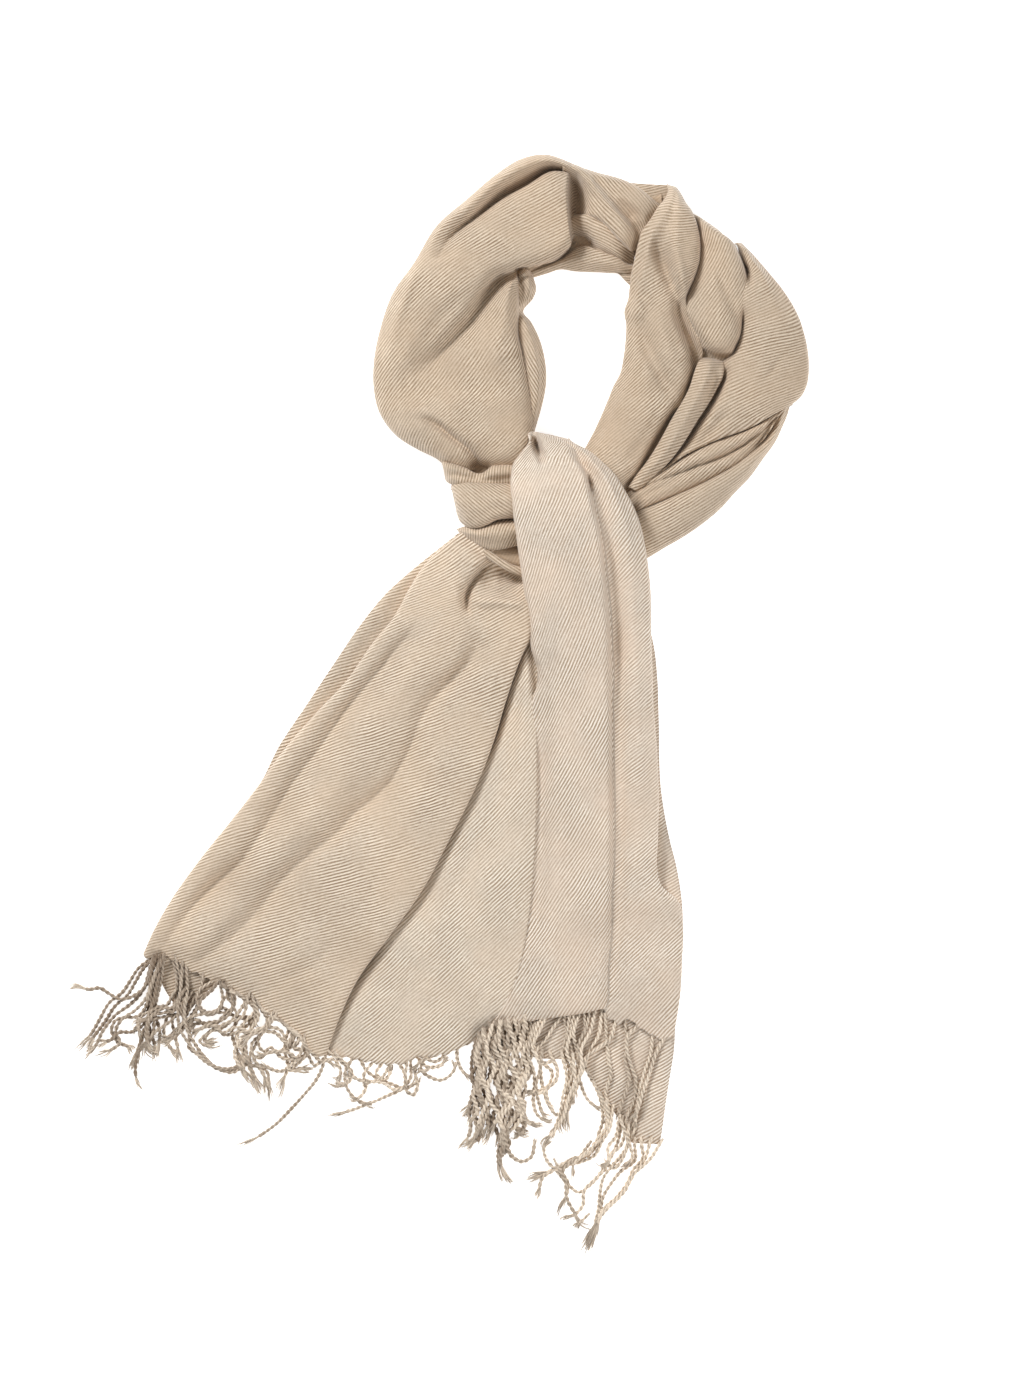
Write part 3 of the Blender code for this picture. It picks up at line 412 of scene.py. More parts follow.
def shape_hem(grid, hem):
    """Moves the last rows so that the hem follows (share across, x and y offset)."""
    share = run_along(grid[-1])
    share = share / share[-1]
    at, x, y = np.array(hem, float).T
    offset = np.stack([np.interp(share, at, x), np.interp(share, at, y)], axis=1)
    back = np.linalg.norm(np.diff(grid, axis=0), axis=2).mean(axis=1)
    to_hem = np.concatenate([np.cumsum(back[::-1])[::-1], [0]])
    weight = np.clip(1 - to_hem / HEM_REACH, 0, 1) ** 2
    grid = grid.copy()
    grid[..., :2] += weight[:, None, None] * offset[None]
    return grid


def scalloped(grid):
    """Pulls the raw edge into small points, one for each tassel."""
    outward = unit((grid[-1] - grid[-4]) * (1, 1, 0))
    point = np.abs(np.cos(np.pi * run_along(grid[-1]) / ROOT_SPACING)) ** 1.5
    grid = grid.copy()
    grid[-1] += outward * (2.2 * point - 1.0)[:, None]
    grid[-2] += outward * (1.1 * point - 0.5)[:, None]
    return grid


# ---------------------------------------------------------------- the ring, left side
# Folds: crest of the outer roll, its slope, groove, edge of the flap, middle and far shoulder of the
# flap, its free edge, the turn under it, the floor of the valley, its rise, the panel and its shoulder.

NECK_LEFT = sections([
    ((15.5, 262.2), (11, 209), (0, 6), (0.08, 27), (0.12, 16), (0.15, 8), (0.2, 3), (0.4, 3), (0.8, 3),
     (0.9, 3), (0.92, 3), (0.94, 3), (0.96, 3), (0.98, 3), (0.99, 3)),
    ((8.8, 264.8), (8, 206.4), (0, 9), (0.065, 31), (0.1, 22), (0.125, 14), (0.15, 18), (0.4, 19),
     (0.88, 19), (0.98, 22), (0.97, 15), (0.975, 13), (0.98, 12), (0.985, 11), (0.99, 10.5)),
    ((7, 265.6), (8.4, 205), (0, 10), (0.06, 32), (0.09, 24), (0.12, 14), (0.138, 30), (0.4, 35.5),
     (0.86, 35.5), (0.99, 30), (0.975, 20), (0.98, 16), (0.985, 14), (0.99, 12), (0.993, 11)),
    ((-8, 270.8), (0.5, 196), (0, 10), (0.06, 34), (0.1, 25), (0.148, 12), (0.172, 30), (0.45, 37),
     (0.88, 36.5), (0.995, 31), (0.975, 22), (0.98, 18), (0.985, 15), (0.99, 13), (0.993, 11.5)),
    ((-28, 268), (-15, 190), (0, 11), (0.08, 37), (0.15, 28.5), (0.235, 14), (0.262, 31), (0.5, 37.5),
     (0.88, 37), (0.995, 31), (0.975, 22), (0.98, 18), (0.985, 15.5), (0.99, 13.5), (0.993, 12)),
    ((-48, 255.7), (-31.5, 186), (0, 12), (0.08, 37), (0.15, 31), (0.24, 18), (0.272, 31.5), (0.5, 38),
     (0.88, 38), (0.99, 33), (0.972, 23), (0.978, 19), (0.984, 17), (0.988, 15), (0.992, 13.5)),
    ((-70, 237), (-31, 177), (0, 18), (0.07, 37), (0.14, 33.5), (0.2, 26), (0.235, 33), (0.5, 39),
     (0.78, 39), (0.875, 33.5), (0.87, 23), (0.9, 20), (0.93, 22), (0.955, 25), (0.985, 24)),
    ((-90, 220), (-31, 166), (0, 20), (0.06, 34.5), (0.12, 33.5), (0.165, 31), (0.21, 36), (0.4, 40.5),
     (0.62, 40), (0.735, 34), (0.745, 25), (0.79, 20.5), (0.86, 27), (0.9, 33), (0.97, 30)),
    ((-109, 190), (-30.8, 152), (0, 21), (0.05, 32), (0.1, 35.5), (0.15, 37), (0.2, 38), (0.32, 40.5),
     (0.46, 40), (0.585, 36), (0.635, 28), (0.69, 24), (0.76, 29.5), (0.87, 35.5), (0.96, 32)),
    ((-124, 169), (-31.2, 138), (0, 22), (0.04, 29.5), (0.1, 35), (0.16, 37), (0.22, 38.5), (0.3, 39),
     (0.42, 38), (0.52, 34.5), (0.58, 29.5), (0.63, 26), (0.71, 30.5), (0.87, 36), (0.96, 33)),
    ((-134, 141), (-28.4, 126), (0, 22), (0.04, 28), (0.1, 34), (0.16, 36.5), (0.22, 37), (0.27, 37),
     (0.34, 36), (0.41, 33.5), (0.46, 30), (0.51, 27.5), (0.59, 31), (0.82, 36), (0.95, 33)),
    ((-138.5, 118), (-25.8, 114), (0, 22), (0.04, 27), (0.09, 32), (0.14, 34), (0.18, 34.5), (0.22, 34),
     (0.25, 33), (0.29, 31), (0.34, 29), (0.39, 28), (0.47, 30), (0.78, 34.5), (0.94, 32)),
    ((-138.6, 97), (-23.3, 98), (0, 22), (0.04, 25.5), (0.09, 29.5), (0.14, 30.5), (0.18, 30.5), (0.22, 30),
     (0.25, 30), (0.29, 29.5), (0.34, 29.5), (0.39, 29.5), (0.5, 30), (0.78, 32), (0.94, 30.5)),
    ((-134.2, 79), (-21.3, 83), (0, 22), (0.04, 26), (0.09, 31), (0.14, 34), (0.18, 35), (0.22, 35.5),
     (0.27, 35.5), (0.32, 35.5), (0.37, 35.5), (0.43, 35.5), (0.55, 35.5), (0.8, 35), (0.94, 31.5)),
    ((-122, 62.5), (-20.8, 69), (0, 24), (0.05, 25), (0.1, 29.5), (0.15, 31.5), (0.2, 32), (0.25, 32.5),
     (0.3, 33), (0.36, 33.5), (0.42, 34.5), (0.5, 35.5), (0.6, 35.5), (0.8, 35), (0.94, 32.5)),
    ((-106, 52.2), (-20.5, 56.5), (0, 22), (0.05, 24), (0.1, 27), (0.16, 29), (0.22, 29.5), (0.28, 30),
     (0.34, 31), (0.4, 32), (0.48, 33), (0.56, 34), (0.66, 34.5), (0.82, 34.5), (0.94, 33)),
    ((-91, 44.6), (-28, 43.5), (0, 22), (0.06, 20), (0.12, 24), (0.18, 26), (0.24, 26.5), (0.3, 27),
     (0.36, 27), (0.44, 27), (0.52, 28), (0.6, 29), (0.7, 30.5), (0.84, 31.5), (0.94, 31)),
    ((-84, 38), (-31, 35), (0, 18), (0.06, 17), (0.12, 19), (0.18, 20), (0.24, 20), (0.3, 20), (0.36, 20),
     (0.44, 20), (0.52, 20.5), (0.6, 21), (0.7, 21.5), (0.84, 21.5), (0.94, 21)),
])
# Two sections near the top bulge.
NECK_LEFT[1] = NECK_LEFT[1]._replace(bow=2.5)
NECK_LEFT[2] = NECK_LEFT[2]._replace(bow=3.5)
NECK_LEFT_STROKES = [
    stroke(3.2, -1.8, (0.2, 0.4), -103, 192, -111, 176, -119, 152, -126, 124),
    stroke(7, 3.0, (0.3, 1, 1, 0.9, 0.6, 0.2), -58, 150, -66, 142, -78, 131, -92, 119, -105, 110,
           -114, 105),
    stroke(4.0, 3.0, (0.6, 0.5), -44, 240, -54, 232, -64, 224, -74, 215, -84, 206),
    stroke(6, 2.2, (0.5, 1, 1, 0.8, 0.2), -70, 167, -80, 158, -89, 150, -103, 129, -115, 108),
    stroke(4.5, 4.5, (0.5, 1, 1, 1, 0.8, 0.6, 0.4, 0.2), -36, 185, -45, 181, -51, 174, -56, 164, -62, 152,
           -70, 143, -90, 123, -104, 109),
    stroke(4.2, -2.6, (0.5, 1, 1, 0.7, 0.2), -38, 181, -40, 171, -41, 160, -43, 140, -47, 118),
    stroke(2.2, 1.6, (0.6, 1, 0.8, 0.2), -34.5, 178, -35, 165, -35.5, 150, -34, 138),
    stroke(2.4, 6.5, (0.1, 0.7, 1, 1, 1, 1), -104, 74, -97, 72.5, -90, 68.5, -80, 60, -70, 53, -62, 44,
           power=1.4),
    stroke(5, -2.2, (0.2, 0.9, 1, 1, 0.6), -114, 80, -100, 80, -88, 74, -76, 65, -66, 56),
    stroke(6, -3.0, (0.3, 1, 0.8, 0.5), -116, 68, -104, 66, -94, 58, -84, 51),
    stroke(3.6, 16, (0.6, 1), -65, 40.5, -61, 39, -56, 38, power=2.2),
    stroke(3.2, 2.0, (0.2, 0.3), -95, 199, -90, 196, -82, 199, -74, 206),
    stroke(3.5, -1.5, (0.3, 0.6), -98, 193, -90, 190, -80, 192),
    stroke(4, -1.2, (0.2, 0.3), -52, 118, -46, 120, -36, 124),
    stroke(7, 1.5, (0.2, 0.3), -120, 150, -123, 130, -124, 110),
    stroke(9, 1.4, (0, 0.6), -40, 205, -20, 216, 0, 222),
    stroke(8, -1.0, (0, 0.8, 0), -75, 180, -55, 196, -35, 204),
]

NECK_LEFT_INNER = folded((0.3, 0.6, 0.85), [
    ((-27, 187.5), (-22, 186), (16, 8), 17, 15, 11),
]) + folded((0.3, 0.55, 0.82), [
    ((-30.6, 182.5), (-20, 180), (20, 0), 26, 25, 19),
    ((-31.4, 173), (-18.4, 172), (20, 0), 23, 28, 22),
    ((-31.4, 165), (-20.5, 165.5), (20, 0), 21, 24, 18),
    ((-32, 156.8), (-27.8, 156.2), (19, 0), 18, 15, 11),
    ((-33, 147), (-22, 147.5), (20, 0), 25, 26, 20),
    ((-31, 133), (-15.6, 134), (21, 0), 27, 28, 21),
    ((-28, 119), (-12, 120), (21, 0), 28, 28, 21),
    ((-25.4, 104), (-10.8, 104), (21, 0), 27, 27, 20),
    ((-23.8, 92), (-12.6, 91), (20, 0), 25, 25, 18),
    ((-22.4, 78), (-16.4, 76.5), (19, 0), 23, 22, 16),
    ((-21.5, 66), (-19.8, 65), (18, 0), 20, 18, 12),
])
NECK_LEFT_INNER_STROKES = [
    stroke(2.2, 5.0, (0.4, 0.3), -30, 179, -27, 172, -24, 165, -26, 159),
    stroke(1.6, 3.5, (0.2, 1), -22, 183, -25, 180.5, -29.5, 178.5),
    stroke(3, 1.2, (0.2, 0.6), -25, 142, -22, 128, -19, 112),
]

# ---------------------------------------------------------------- the ring, top

NECK_TOP_COLLAR = sections([
    ((1, 267.2), (5, 226.2), (0, 8), (0.1, 30), (0.18, 25), (0.3, 13), (0.45, 6), (0.6, 4), (0.78, 4),
     (0.92, 5)),
    ((7, 265.2), (8.5, 226.3), (0, 8), (0.1, 31), (0.18, 25), (0.3, 13), (0.45, 6), (0.6, 4), (0.78, 4),
     (0.92, 5)),
    ((12.5, 263.4), (13, 226.2), (0, 8), (0.1, 31.5), (0.18, 27), (0.3, 15), (0.45, 8), (0.6, 5), (0.78, 5),
     (0.92, 6)),
    ((17.4, 261.4), (17.4, 226.2), (0, 10), (0.1, 30.5), (0.2, 31), (0.32, 26), (0.45, 19), (0.6, 16),
     (0.78, 15), (0.95, 16)),
    ((22.6, 259.8), (22.2, 225.4), (0, 14), (0.1, 29.5), (0.2, 31), (0.32, 32.5), (0.45, 31), (0.6, 29),
     (0.78, 29), (0.95, 28.5)),
    ((30, 257.6), (28.5, 223), (0, 16), (0.1, 28.5), (0.25, 29), (0.38, 32.5), (0.5, 34), (0.62, 33.5),
     (0.78, 34), (0.96, 32)),
    ((40, 255.2), (35.7, 216.5), (0, 16), (0.1, 27.5), (0.25, 27), (0.42, 30), (0.56, 34.5), (0.66, 35.5),
     (0.8, 35), (0.96, 32)),
    ((49.5, 252), (42.5, 209), (0, 16), (0.1, 26.5), (0.25, 28), (0.42, 25), (0.58, 30), (0.68, 35),
     (0.82, 35), (0.96, 32)),
    ((58.5, 247.2), (48.5, 203.5), (3, 16), (0.1, 25.5), (0.25, 28.5), (0.42, 23), (0.58, 25), (0.68, 31.5),
     (0.82, 32.5), (0.95, 29.5)),
    ((67.5, 240), (54, 200), (3, 22), (0.1, 24), (0.25, 26), (0.42, 23), (0.58, 22), (0.68, 24), (0.82, 25),
     (0.94, 23.5)),
    ((75, 234), (60, 203), (4, 18), (0.1, 19), (0.25, 20), (0.42, 19), (0.58, 19), (0.68, 19), (0.82, 19),
     (0.94, 18.5)),
])
NECK_TOP_COLLAR_STROKES = [
    stroke(4.4, 6, (0.4, 1), 8, 256, 10, 248, 11, 239, 11, 228),
    stroke(3.0, -1.5, (0.2, 0.8, 0.5), 12, 256, 16, 246, 20, 238),
    stroke(2.6, -1.8, (0.3, 0.8), 17, 259, 23, 251, 27, 243, 33, 235, 42, 227, 53, 221),
    stroke(3.0, 1.8, (0.3, 1, 1, 0.8, 0.3), 21, 259, 27, 251, 33, 243, 42, 236, 50, 231),
    stroke(3.5, 1.6, (0.2, 0.8), 38, 251, 48, 245, 60, 235, 68, 226),
    stroke(4, 5.0, (0.2, 0.8), 44, 233, 52, 226, 59, 215, 57, 204),
    stroke(2.6, 2.4, (0.2, 0.6), 33, 243, 41, 233, 50, 224, 57, 214),
]
NECK_TOP_UNDER = sections([
    ((3, 228), (8, 209), (5, 4), (0.2, 6), (0.5, 6), (0.8, 5)),
    ((10, 228.2), (13.5, 208), (8, 3), (0.2, 13), (0.45, 11), (0.8, 6)),
    ((17, 228.2), (19, 204.5), (11, 3), (0.12, 24), (0.5, 21), (0.8, 8)),
    ((24, 227.5), (23.5, 202), (13, 7), (0.12, 26), (0.5, 25.5), (0.88, 20)),
    ((32, 222), (31, 199.5), (13, 9), (0.12, 26), (0.5, 25.5), (0.9, 22.5)),
    ((40, 215), (39, 196.5), (13, 9), (0.12, 25), (0.5, 24.5), (0.9, 22)),
    ((48, 207), (47.5, 192.5), (12, 9), (0.12, 22), (0.5, 20), (0.9, 18)),
    ((56, 201), (55, 188), (10, 7), (0.2, 12), (0.5, 11), (0.8, 10)),
])
NECK_TOP_BOTTOM = sections([
    ((-24, 190), (-20.5, 181.5), (9, 0), (0.2, 10), (0.5, 10), (0.85, 7)),
    ((-13, 193), (-10, 184.6), (10, 0), (0.2, 12), (0.5, 12), (0.85, 8)),
    ((0, 198), (0.5, 187.6), (5, 0), (0.2, 11), (0.5, 14), (0.85, 10)),
    ((10, 203), (10.5, 186.2), (5, 0), (0.12, 13), (0.5, 17), (0.88, 12)),
    ((20, 204.5), (21, 185.6), (6, 0), (0.08, 18), (0.5, 19), (0.9, 13)),
    ((27, 201.5), (28, 185.4), (10, 0), (0.08, 19.5), (0.5, 19), (0.9, 13)),
    ((36, 198.5), (36, 185), (10, 0), (0.08, 18.5), (0.5, 18), (0.9, 12)),
    ((44, 195.5), (43.5, 184.4), (10, 0), (0.08, 16.5), (0.5, 16.5), (0.9, 11)),
    ((50, 192), (48, 180), (8, 0), (0.16, 14.5), (0.5, 14), (0.9, 9)),
    ((58, 190), (54, 174), (8, 0), (0.16, 11), (0.5, 11), (0.9, 7)),
])
NECK_TOP_BOTTOM_STROKES = [
    stroke(1.4, 4.0, (0.4, 1), 40, 184.5, 46, 184.2, 53, 183.5),
    stroke(3, 0.8, (0.2, 0.4), 4, 196, 18, 199, 30, 195),
    stroke(3.4, 6, (0.8, 0.6), -22, 188, -8, 192.5, 2, 198, 8, 203, 14, 206),
]
NECK_BACK_CORNER = folded((0.3, 0.6), [
    ((42, 254.3), (52, 240), (1, 1), 3.2, 3.4),
    ((50, 252.8), (58, 240), (1, 1), 3.4, 4),
    ((60, 252), (64, 236), (1, 1), 3.4, 4.4),
    ((70, 251.3), (72, 232), (1, 1), 3.4, 4.4),
    ((81.5, 250.6), (80, 230), (1, 1), 3.0, 4),
    ((86, 248), (86, 228), (1, 1), 2.4, 3),
])

NECK_TOP_UNDER_STROKES = [
    stroke(4.0, 13, (1, 0.5), 3, 210, 9, 207, 16, 206, 22, 205, 24, 202, power=2.4),
    stroke(3.5, 4, (0.3, 1), 19, 222, 21, 215, 21, 208),
    stroke(4, 5, (0.3, 1), 46, 203, 50, 198, 54, 193),
    stroke(1.8, 5, (0.6, 0.8), 26, 203, 34, 199, 42, 195.5, 50, 192),
    stroke(3.5, -1.4, (0.2, 0.6), 22, 220, 30, 214, 38, 208),
]

# ---------------------------------------------------------------- the ring, right side
# Folds: edge by the opening, inner body, soft groove, rise, bright ridge, outer shoulder.

NECK_RIGHT_INNER = sections([
    ((80, 251), (87, 249.5), (2, 2), (0.2, 5), (0.35, 6), (0.5, 6), (0.62, 6), (0.78, 5.5), (0.9, 5)),
    ((80.2, 249.4), (88.4, 247.6), (4, 2), (0.2, 14), (0.35, 15), (0.5, 16), (0.62, 16), (0.78, 15),
     (0.9, 13)),
    ((80.8, 245), (91.5, 242), (8, 2), (0.15, 21), (0.3, 24), (0.46, 25), (0.6, 26), (0.78, 24), (0.9, 21)),
    ((78, 238.5), (95, 235.5), (12, 3), (0.12, 26), (0.28, 30), (0.42, 31), (0.58, 34), (0.76, 32),
     (0.9, 27)),
    ((73.8, 233.5), (98.6, 230), (16, 6), (0.1, 29), (0.26, 33), (0.4, 34), (0.58, 38), (0.78, 36.5),
     (0.92, 32)),
    ((67.5, 223.5), (102, 220.5), (18, 22), (0.08, 30), (0.22, 35), (0.38, 35.5), (0.56, 41), (0.8, 39),
     (0.93, 34)),
    ((61.2, 214.5), (104.3, 211.5), (18, 22), (0.08, 30.5), (0.2, 36), (0.36, 34.5), (0.58, 42), (0.82, 40),
     (0.94, 35)),
    ((58, 204), (105.2, 203), (18, 22), (0.08, 31), (0.18, 36), (0.36, 33), (0.6, 42.5), (0.84, 40.5),
     (0.94, 36)),
    ((55.2, 191.5), (104.2, 191.5), (12, 22), (0.08, 30), (0.18, 35), (0.44, 32.5), (0.65, 42.5),
     (0.86, 40.5), (0.95, 36)),
    ((52.9, 180.5), (101.2, 181), (2, 22), (0.07, 27), (0.18, 33.5), (0.53, 32), (0.74, 42), (0.88, 40.5),
     (0.95, 36)),
    ((52.2, 173), (97.6, 173), (0, 22), (0.06, 24), (0.18, 32.5), (0.6, 32), (0.8, 41), (0.9, 40.5),
     (0.96, 36)),
    ((51.3, 165), (94, 165.5), (0, 26), (0.06, 23), (0.18, 32), (0.6, 34), (0.8, 37), (0.93, 40.5),
     (0.97, 39)),
    ((48.4, 155.5), (94.6, 157), (0, 33), (0.06, 23), (0.18, 32), (0.5, 35.5), (0.72, 34), (0.85, 32.5),
     (0.94, 38)),
    ((49.7, 145), (98.6, 146), (0, 31), (0.06, 23), (0.18, 31.5), (0.5, 36.5), (0.7, 34), (0.82, 27),
     (0.93, 35)),
    ((49.2, 133), (103.6, 135), (0, 27), (0.06, 23), (0.18, 31), (0.5, 36.5), (0.72, 34), (0.86, 25),
     (0.95, 31)),
    ((47.6, 120), (106, 123), (0, 22), (0.06, 22.5), (0.18, 31), (0.48, 36.5), (0.76, 34.5), (0.88, 26),
     (0.95, 24)),
    ((45.2, 109), (102.8, 111), (0, 19), (0.06, 22), (0.18, 30), (0.46, 35.5), (0.76, 35), (0.92, 31),
     (0.97, 26)),
    ((40.5, 100), (98.5, 100), (0, 18), (0.06, 21), (0.18, 29), (0.45, 34.5), (0.76, 34.5), (0.93, 31.5),
     (0.98, 26)),
    ((35.6, 88), (93, 86), (0, 16), (0.06, 20), (0.18, 28), (0.45, 33), (0.76, 33), (0.93, 29), (0.98, 22)),
    ((30.5, 76), (86.5, 72), (0, 14), (0.06, 19), (0.18, 27), (0.45, 31.5), (0.76, 30.5), (0.93, 24),
     (0.98, 18)),
    ((24.8, 64), (79, 58), (0, 13), (0.06, 18), (0.18, 26), (0.45, 30), (0.76, 28), (0.92, 22), (0.97, 17)),
    ((18.5, 52.5), (70, 44), (0, 13), (0.06, 18), (0.18, 25), (0.45, 28.5), (0.76, 26.5), (0.92, 21),
     (0.97, 17)),
    ((14, 44), (60, 30), (0, 14), (0.06, 18), (0.18, 24), (0.45, 27), (0.76, 25), (0.92, 20), (0.97, 16)),
    ((14, 36), (50, 18), (0, 14), (0.06, 17), (0.18, 22), (0.45, 24), (0.76, 23), (0.92, 19), (0.97, 16)),
])
NECK_RIGHT_INNER_STROKES = [
    stroke(4.4, 7.0, (0.2, 0.6), 68, 208, 73, 196, 79, 183, 85, 170, 88, 160),
    stroke(4.4, 10, (0.3, 0.5), 88, 165, 90, 154, 94, 141, 99, 127, 101.5, 114, 99, 101, 94, 91),
    stroke(4.0, 5.0, (0.3, 0.4), 57, 176, 61, 166, 66, 155, 65, 147),
    stroke(5, 7.5, (0.2, 0.4), 57, 152, 60, 141, 66, 124, 75, 106, 86, 88),
    stroke(4.5, -2.6, (0.2, 0.4), 70, 154, 75, 140, 83, 121, 92, 104),
    stroke(4, -1.2, (0.3, 0.6), 52, 150, 58, 140, 62, 128),
    stroke(3.0, -2.2, (0.3, 0.6), 80, 217, 84, 202, 89, 186, 91, 172, 95, 158),
    stroke(3.0, 1.2, (0.2, 0.4), 70, 214, 72, 203, 76, 190),
    stroke(3.0, -1.5, (0.3, 0.5), 88, 236, 87, 215, 88, 195, 91, 172),
    stroke(3.5, 1.0, (0.2, 0.4), 94, 230, 97, 214, 96, 196),
    stroke(4.2, 17, (0.1, 0.3), 89, 84, 85, 75, 78, 64, 72, 54, 67, 44, 62, 38, power=2.2),
    stroke(4.5, 9, (0.4, 1), 58, 34, 50, 24, 44, 16),
    stroke(5, 2.6, (0.2, 0.4), 76, 84, 70, 70, 60, 54, 50, 42),
]

NECK_RIGHT_MIDDLE = sections([
    ((99, 230), (122, 214.2), (3, 3), (0.2, 5), (0.4, 6), (0.6, 6), (0.8, 5)),
    ((99.4, 229), (123.2, 212.6), (6, 2), (0.2, 18), (0.4, 20), (0.6, 20), (0.8, 18)),
    ((99.5, 226), (126, 209), (12, 3), (0.2, 27), (0.4, 31), (0.6, 31), (0.8, 28)),
    ((101, 219), (130.5, 206), (18, 8), (0.2, 33), (0.4, 36.5), (0.6, 37), (0.8, 34.5)),
    ((102.5, 211), (131.8, 201.4), (22, 20), (0.16, 33), (0.35, 38), (0.6, 40), (0.84, 37.5)),
    ((102.8, 203), (136.2, 192), (22, 20), (0.15, 32), (0.35, 37.5), (0.6, 41), (0.86, 38)),
    ((101.5, 191.5), (139.6, 181), (22, 22), (0.14, 32), (0.35, 38), (0.6, 41), (0.87, 37.5)),
    ((98.5, 181), (139.6, 171), (22, 33.5), (0.14, 32), (0.35, 38.5), (0.6, 40.5), (0.87, 37)),
    ((94.5, 171), (138, 162), (23, 34.5), (0.14, 33), (0.35, 39.5), (0.6, 40.5), (0.86, 36.5)),
    ((92.8, 162), (136.6, 152.5), (30, 28), (0.12, 37), (0.35, 40), (0.6, 40.5), (0.87, 36.5)),
    ((95, 152), (136.4, 144), (34, 18), (0.12, 37.5), (0.35, 40), (0.6, 40.5), (0.88, 37)),
    ((99, 143), (134.8, 135), (32, 18), (0.12, 36.5), (0.35, 38.5), (0.6, 39.5), (0.88, 36)),
    ((102.4, 136), (132, 128.6), (29, 18), (0.14, 34), (0.35, 37.5), (0.6, 38.5), (0.86, 35)),
    ((104.2, 130), (130, 124), (22, 18), (0.14, 29), (0.35, 34), (0.6, 35), (0.86, 32)),
    ((105.2, 125), (127.6, 119.6), (16, 16), (0.14, 18), (0.35, 19.5), (0.6, 20), (0.86, 20)),
    ((106, 117), (122, 113), (13, 13), (0.14, 14), (0.35, 15), (0.6, 15), (0.86, 15)),
])
NECK_RIGHT_MIDDLE_STROKES = [
    stroke(4.5, 3.4, (0.2, 0.5), 117, 192, 120, 180, 125, 164, 131, 152, 134, 144),
    stroke(4, 1.0, (0.2, 0.6), 108, 215, 112, 200, 113, 185),
    stroke(4, -1.2, (0.2, 0.5), 108, 152, 118, 147, 127, 140),
]

NECK_RIGHT_OUTER = sections([
    ((131, 207), (136, 207), (4, 2), (0.25, 10), (0.5, 11), (0.8, 8)),
    ((133, 203.5), (142, 200.5), (10, 0), (0.22, 22), (0.5, 22.5), (0.82, 16)),
    ((134.8, 194), (148, 193.2), (14, 0), (0.2, 28), (0.5, 28.5), (0.84, 21)),
    ((139, 184), (156, 183.4), (16, 0), (0.16, 32.5), (0.5, 34), (0.86, 25)),
    ((133, 172), (165, 172.2), (24, 0), (0.14, 35.5), (0.5, 37.5), (0.88, 28)),
    ((131, 161), (172.8, 160.4), (24, 0), (0.14, 35.5), (0.5, 38.5), (0.9, 28)),
    ((134, 150), (178, 150), (18, 0), (0.14, 34), (0.5, 38.5), (0.91, 28)),
    ((133, 138), (181.8, 138.2), (18, 0), (0.12, 34), (0.5, 38), (0.91, 28)),
    ((128, 125), (184.4, 125.4), (18, 0), (0.12, 33), (0.45, 37.5), (0.92, 28)),
    ((119, 115), (185.2, 112.4), (18, 0), (0.12, 33), (0.4, 36.5), (0.92, 27.5)),
    ((117.5, 104), (184, 101), (18, 0), (0.12, 33), (0.4, 36), (0.92, 26)),
    ((113.5, 94), (180.2, 92.6), (18, 2), (0.12, 32), (0.4, 35), (0.93, 26)),
    ((106, 82), (173, 86), (17, 8), (0.12, 30), (0.4, 33.5), (0.94, 26)),
    ((99, 71), (160, 78.4), (16, 23), (0.12, 28), (0.4, 31.5), (0.94, 27.5)),
    ((92, 59), (140, 67.4), (16, 22.5), (0.12, 26), (0.4, 29.5), (0.93, 27.5)),
    ((84, 48), (118, 59.4), (16, 21.5), (0.12, 25), (0.4, 27.5), (0.92, 26)),
    ((74, 37), (95, 48.8), (16, 19.5), (0.12, 23), (0.4, 25), (0.92, 23.5)),
    ((60, 24), (74, 34.6), (14, 14), (0.12, 20), (0.4, 21), (0.92, 20)),
])
NECK_RIGHT_OUTER_STROKES = [
    stroke(2.6, 10, (0.5, 1, 1, 1, 1, 0.9, 0.6), 123.5, 110, 121.5, 104, 113.5, 89, 103.5, 73, 92, 55,
           80, 41, 66, 29, power=1.6),
    stroke(4.5, 4.5, (0.3, 0.5), 124, 80, 121, 75, 114, 66, 106, 58, 98, 53),
    stroke(1.5, 2.6, (0.2, 0.3), 164, 121, 158, 111, 153, 103),
    stroke(3.5, 1.8, (0.3, 0.3), 139, 156, 138, 148, 137, 138),
    stroke(2.0, 5, (0.6, 1, 0.8, 0.1), 136, 194, 139, 185, 141, 176, 141, 168),
    stroke(6, -1.2, (0.3, 0.4), 128, 116, 140, 104, 150, 92),
    stroke(5, 1.0, (0.2, 0.6), 128, 98, 138, 92, 148, 84),
    stroke(5, 0.9, (0.2, 0.3), 168, 160, 173, 140, 174, 122),
    stroke(4, 0.8, (0.2, 0.5), 146, 190, 150, 176, 154, 160),
]

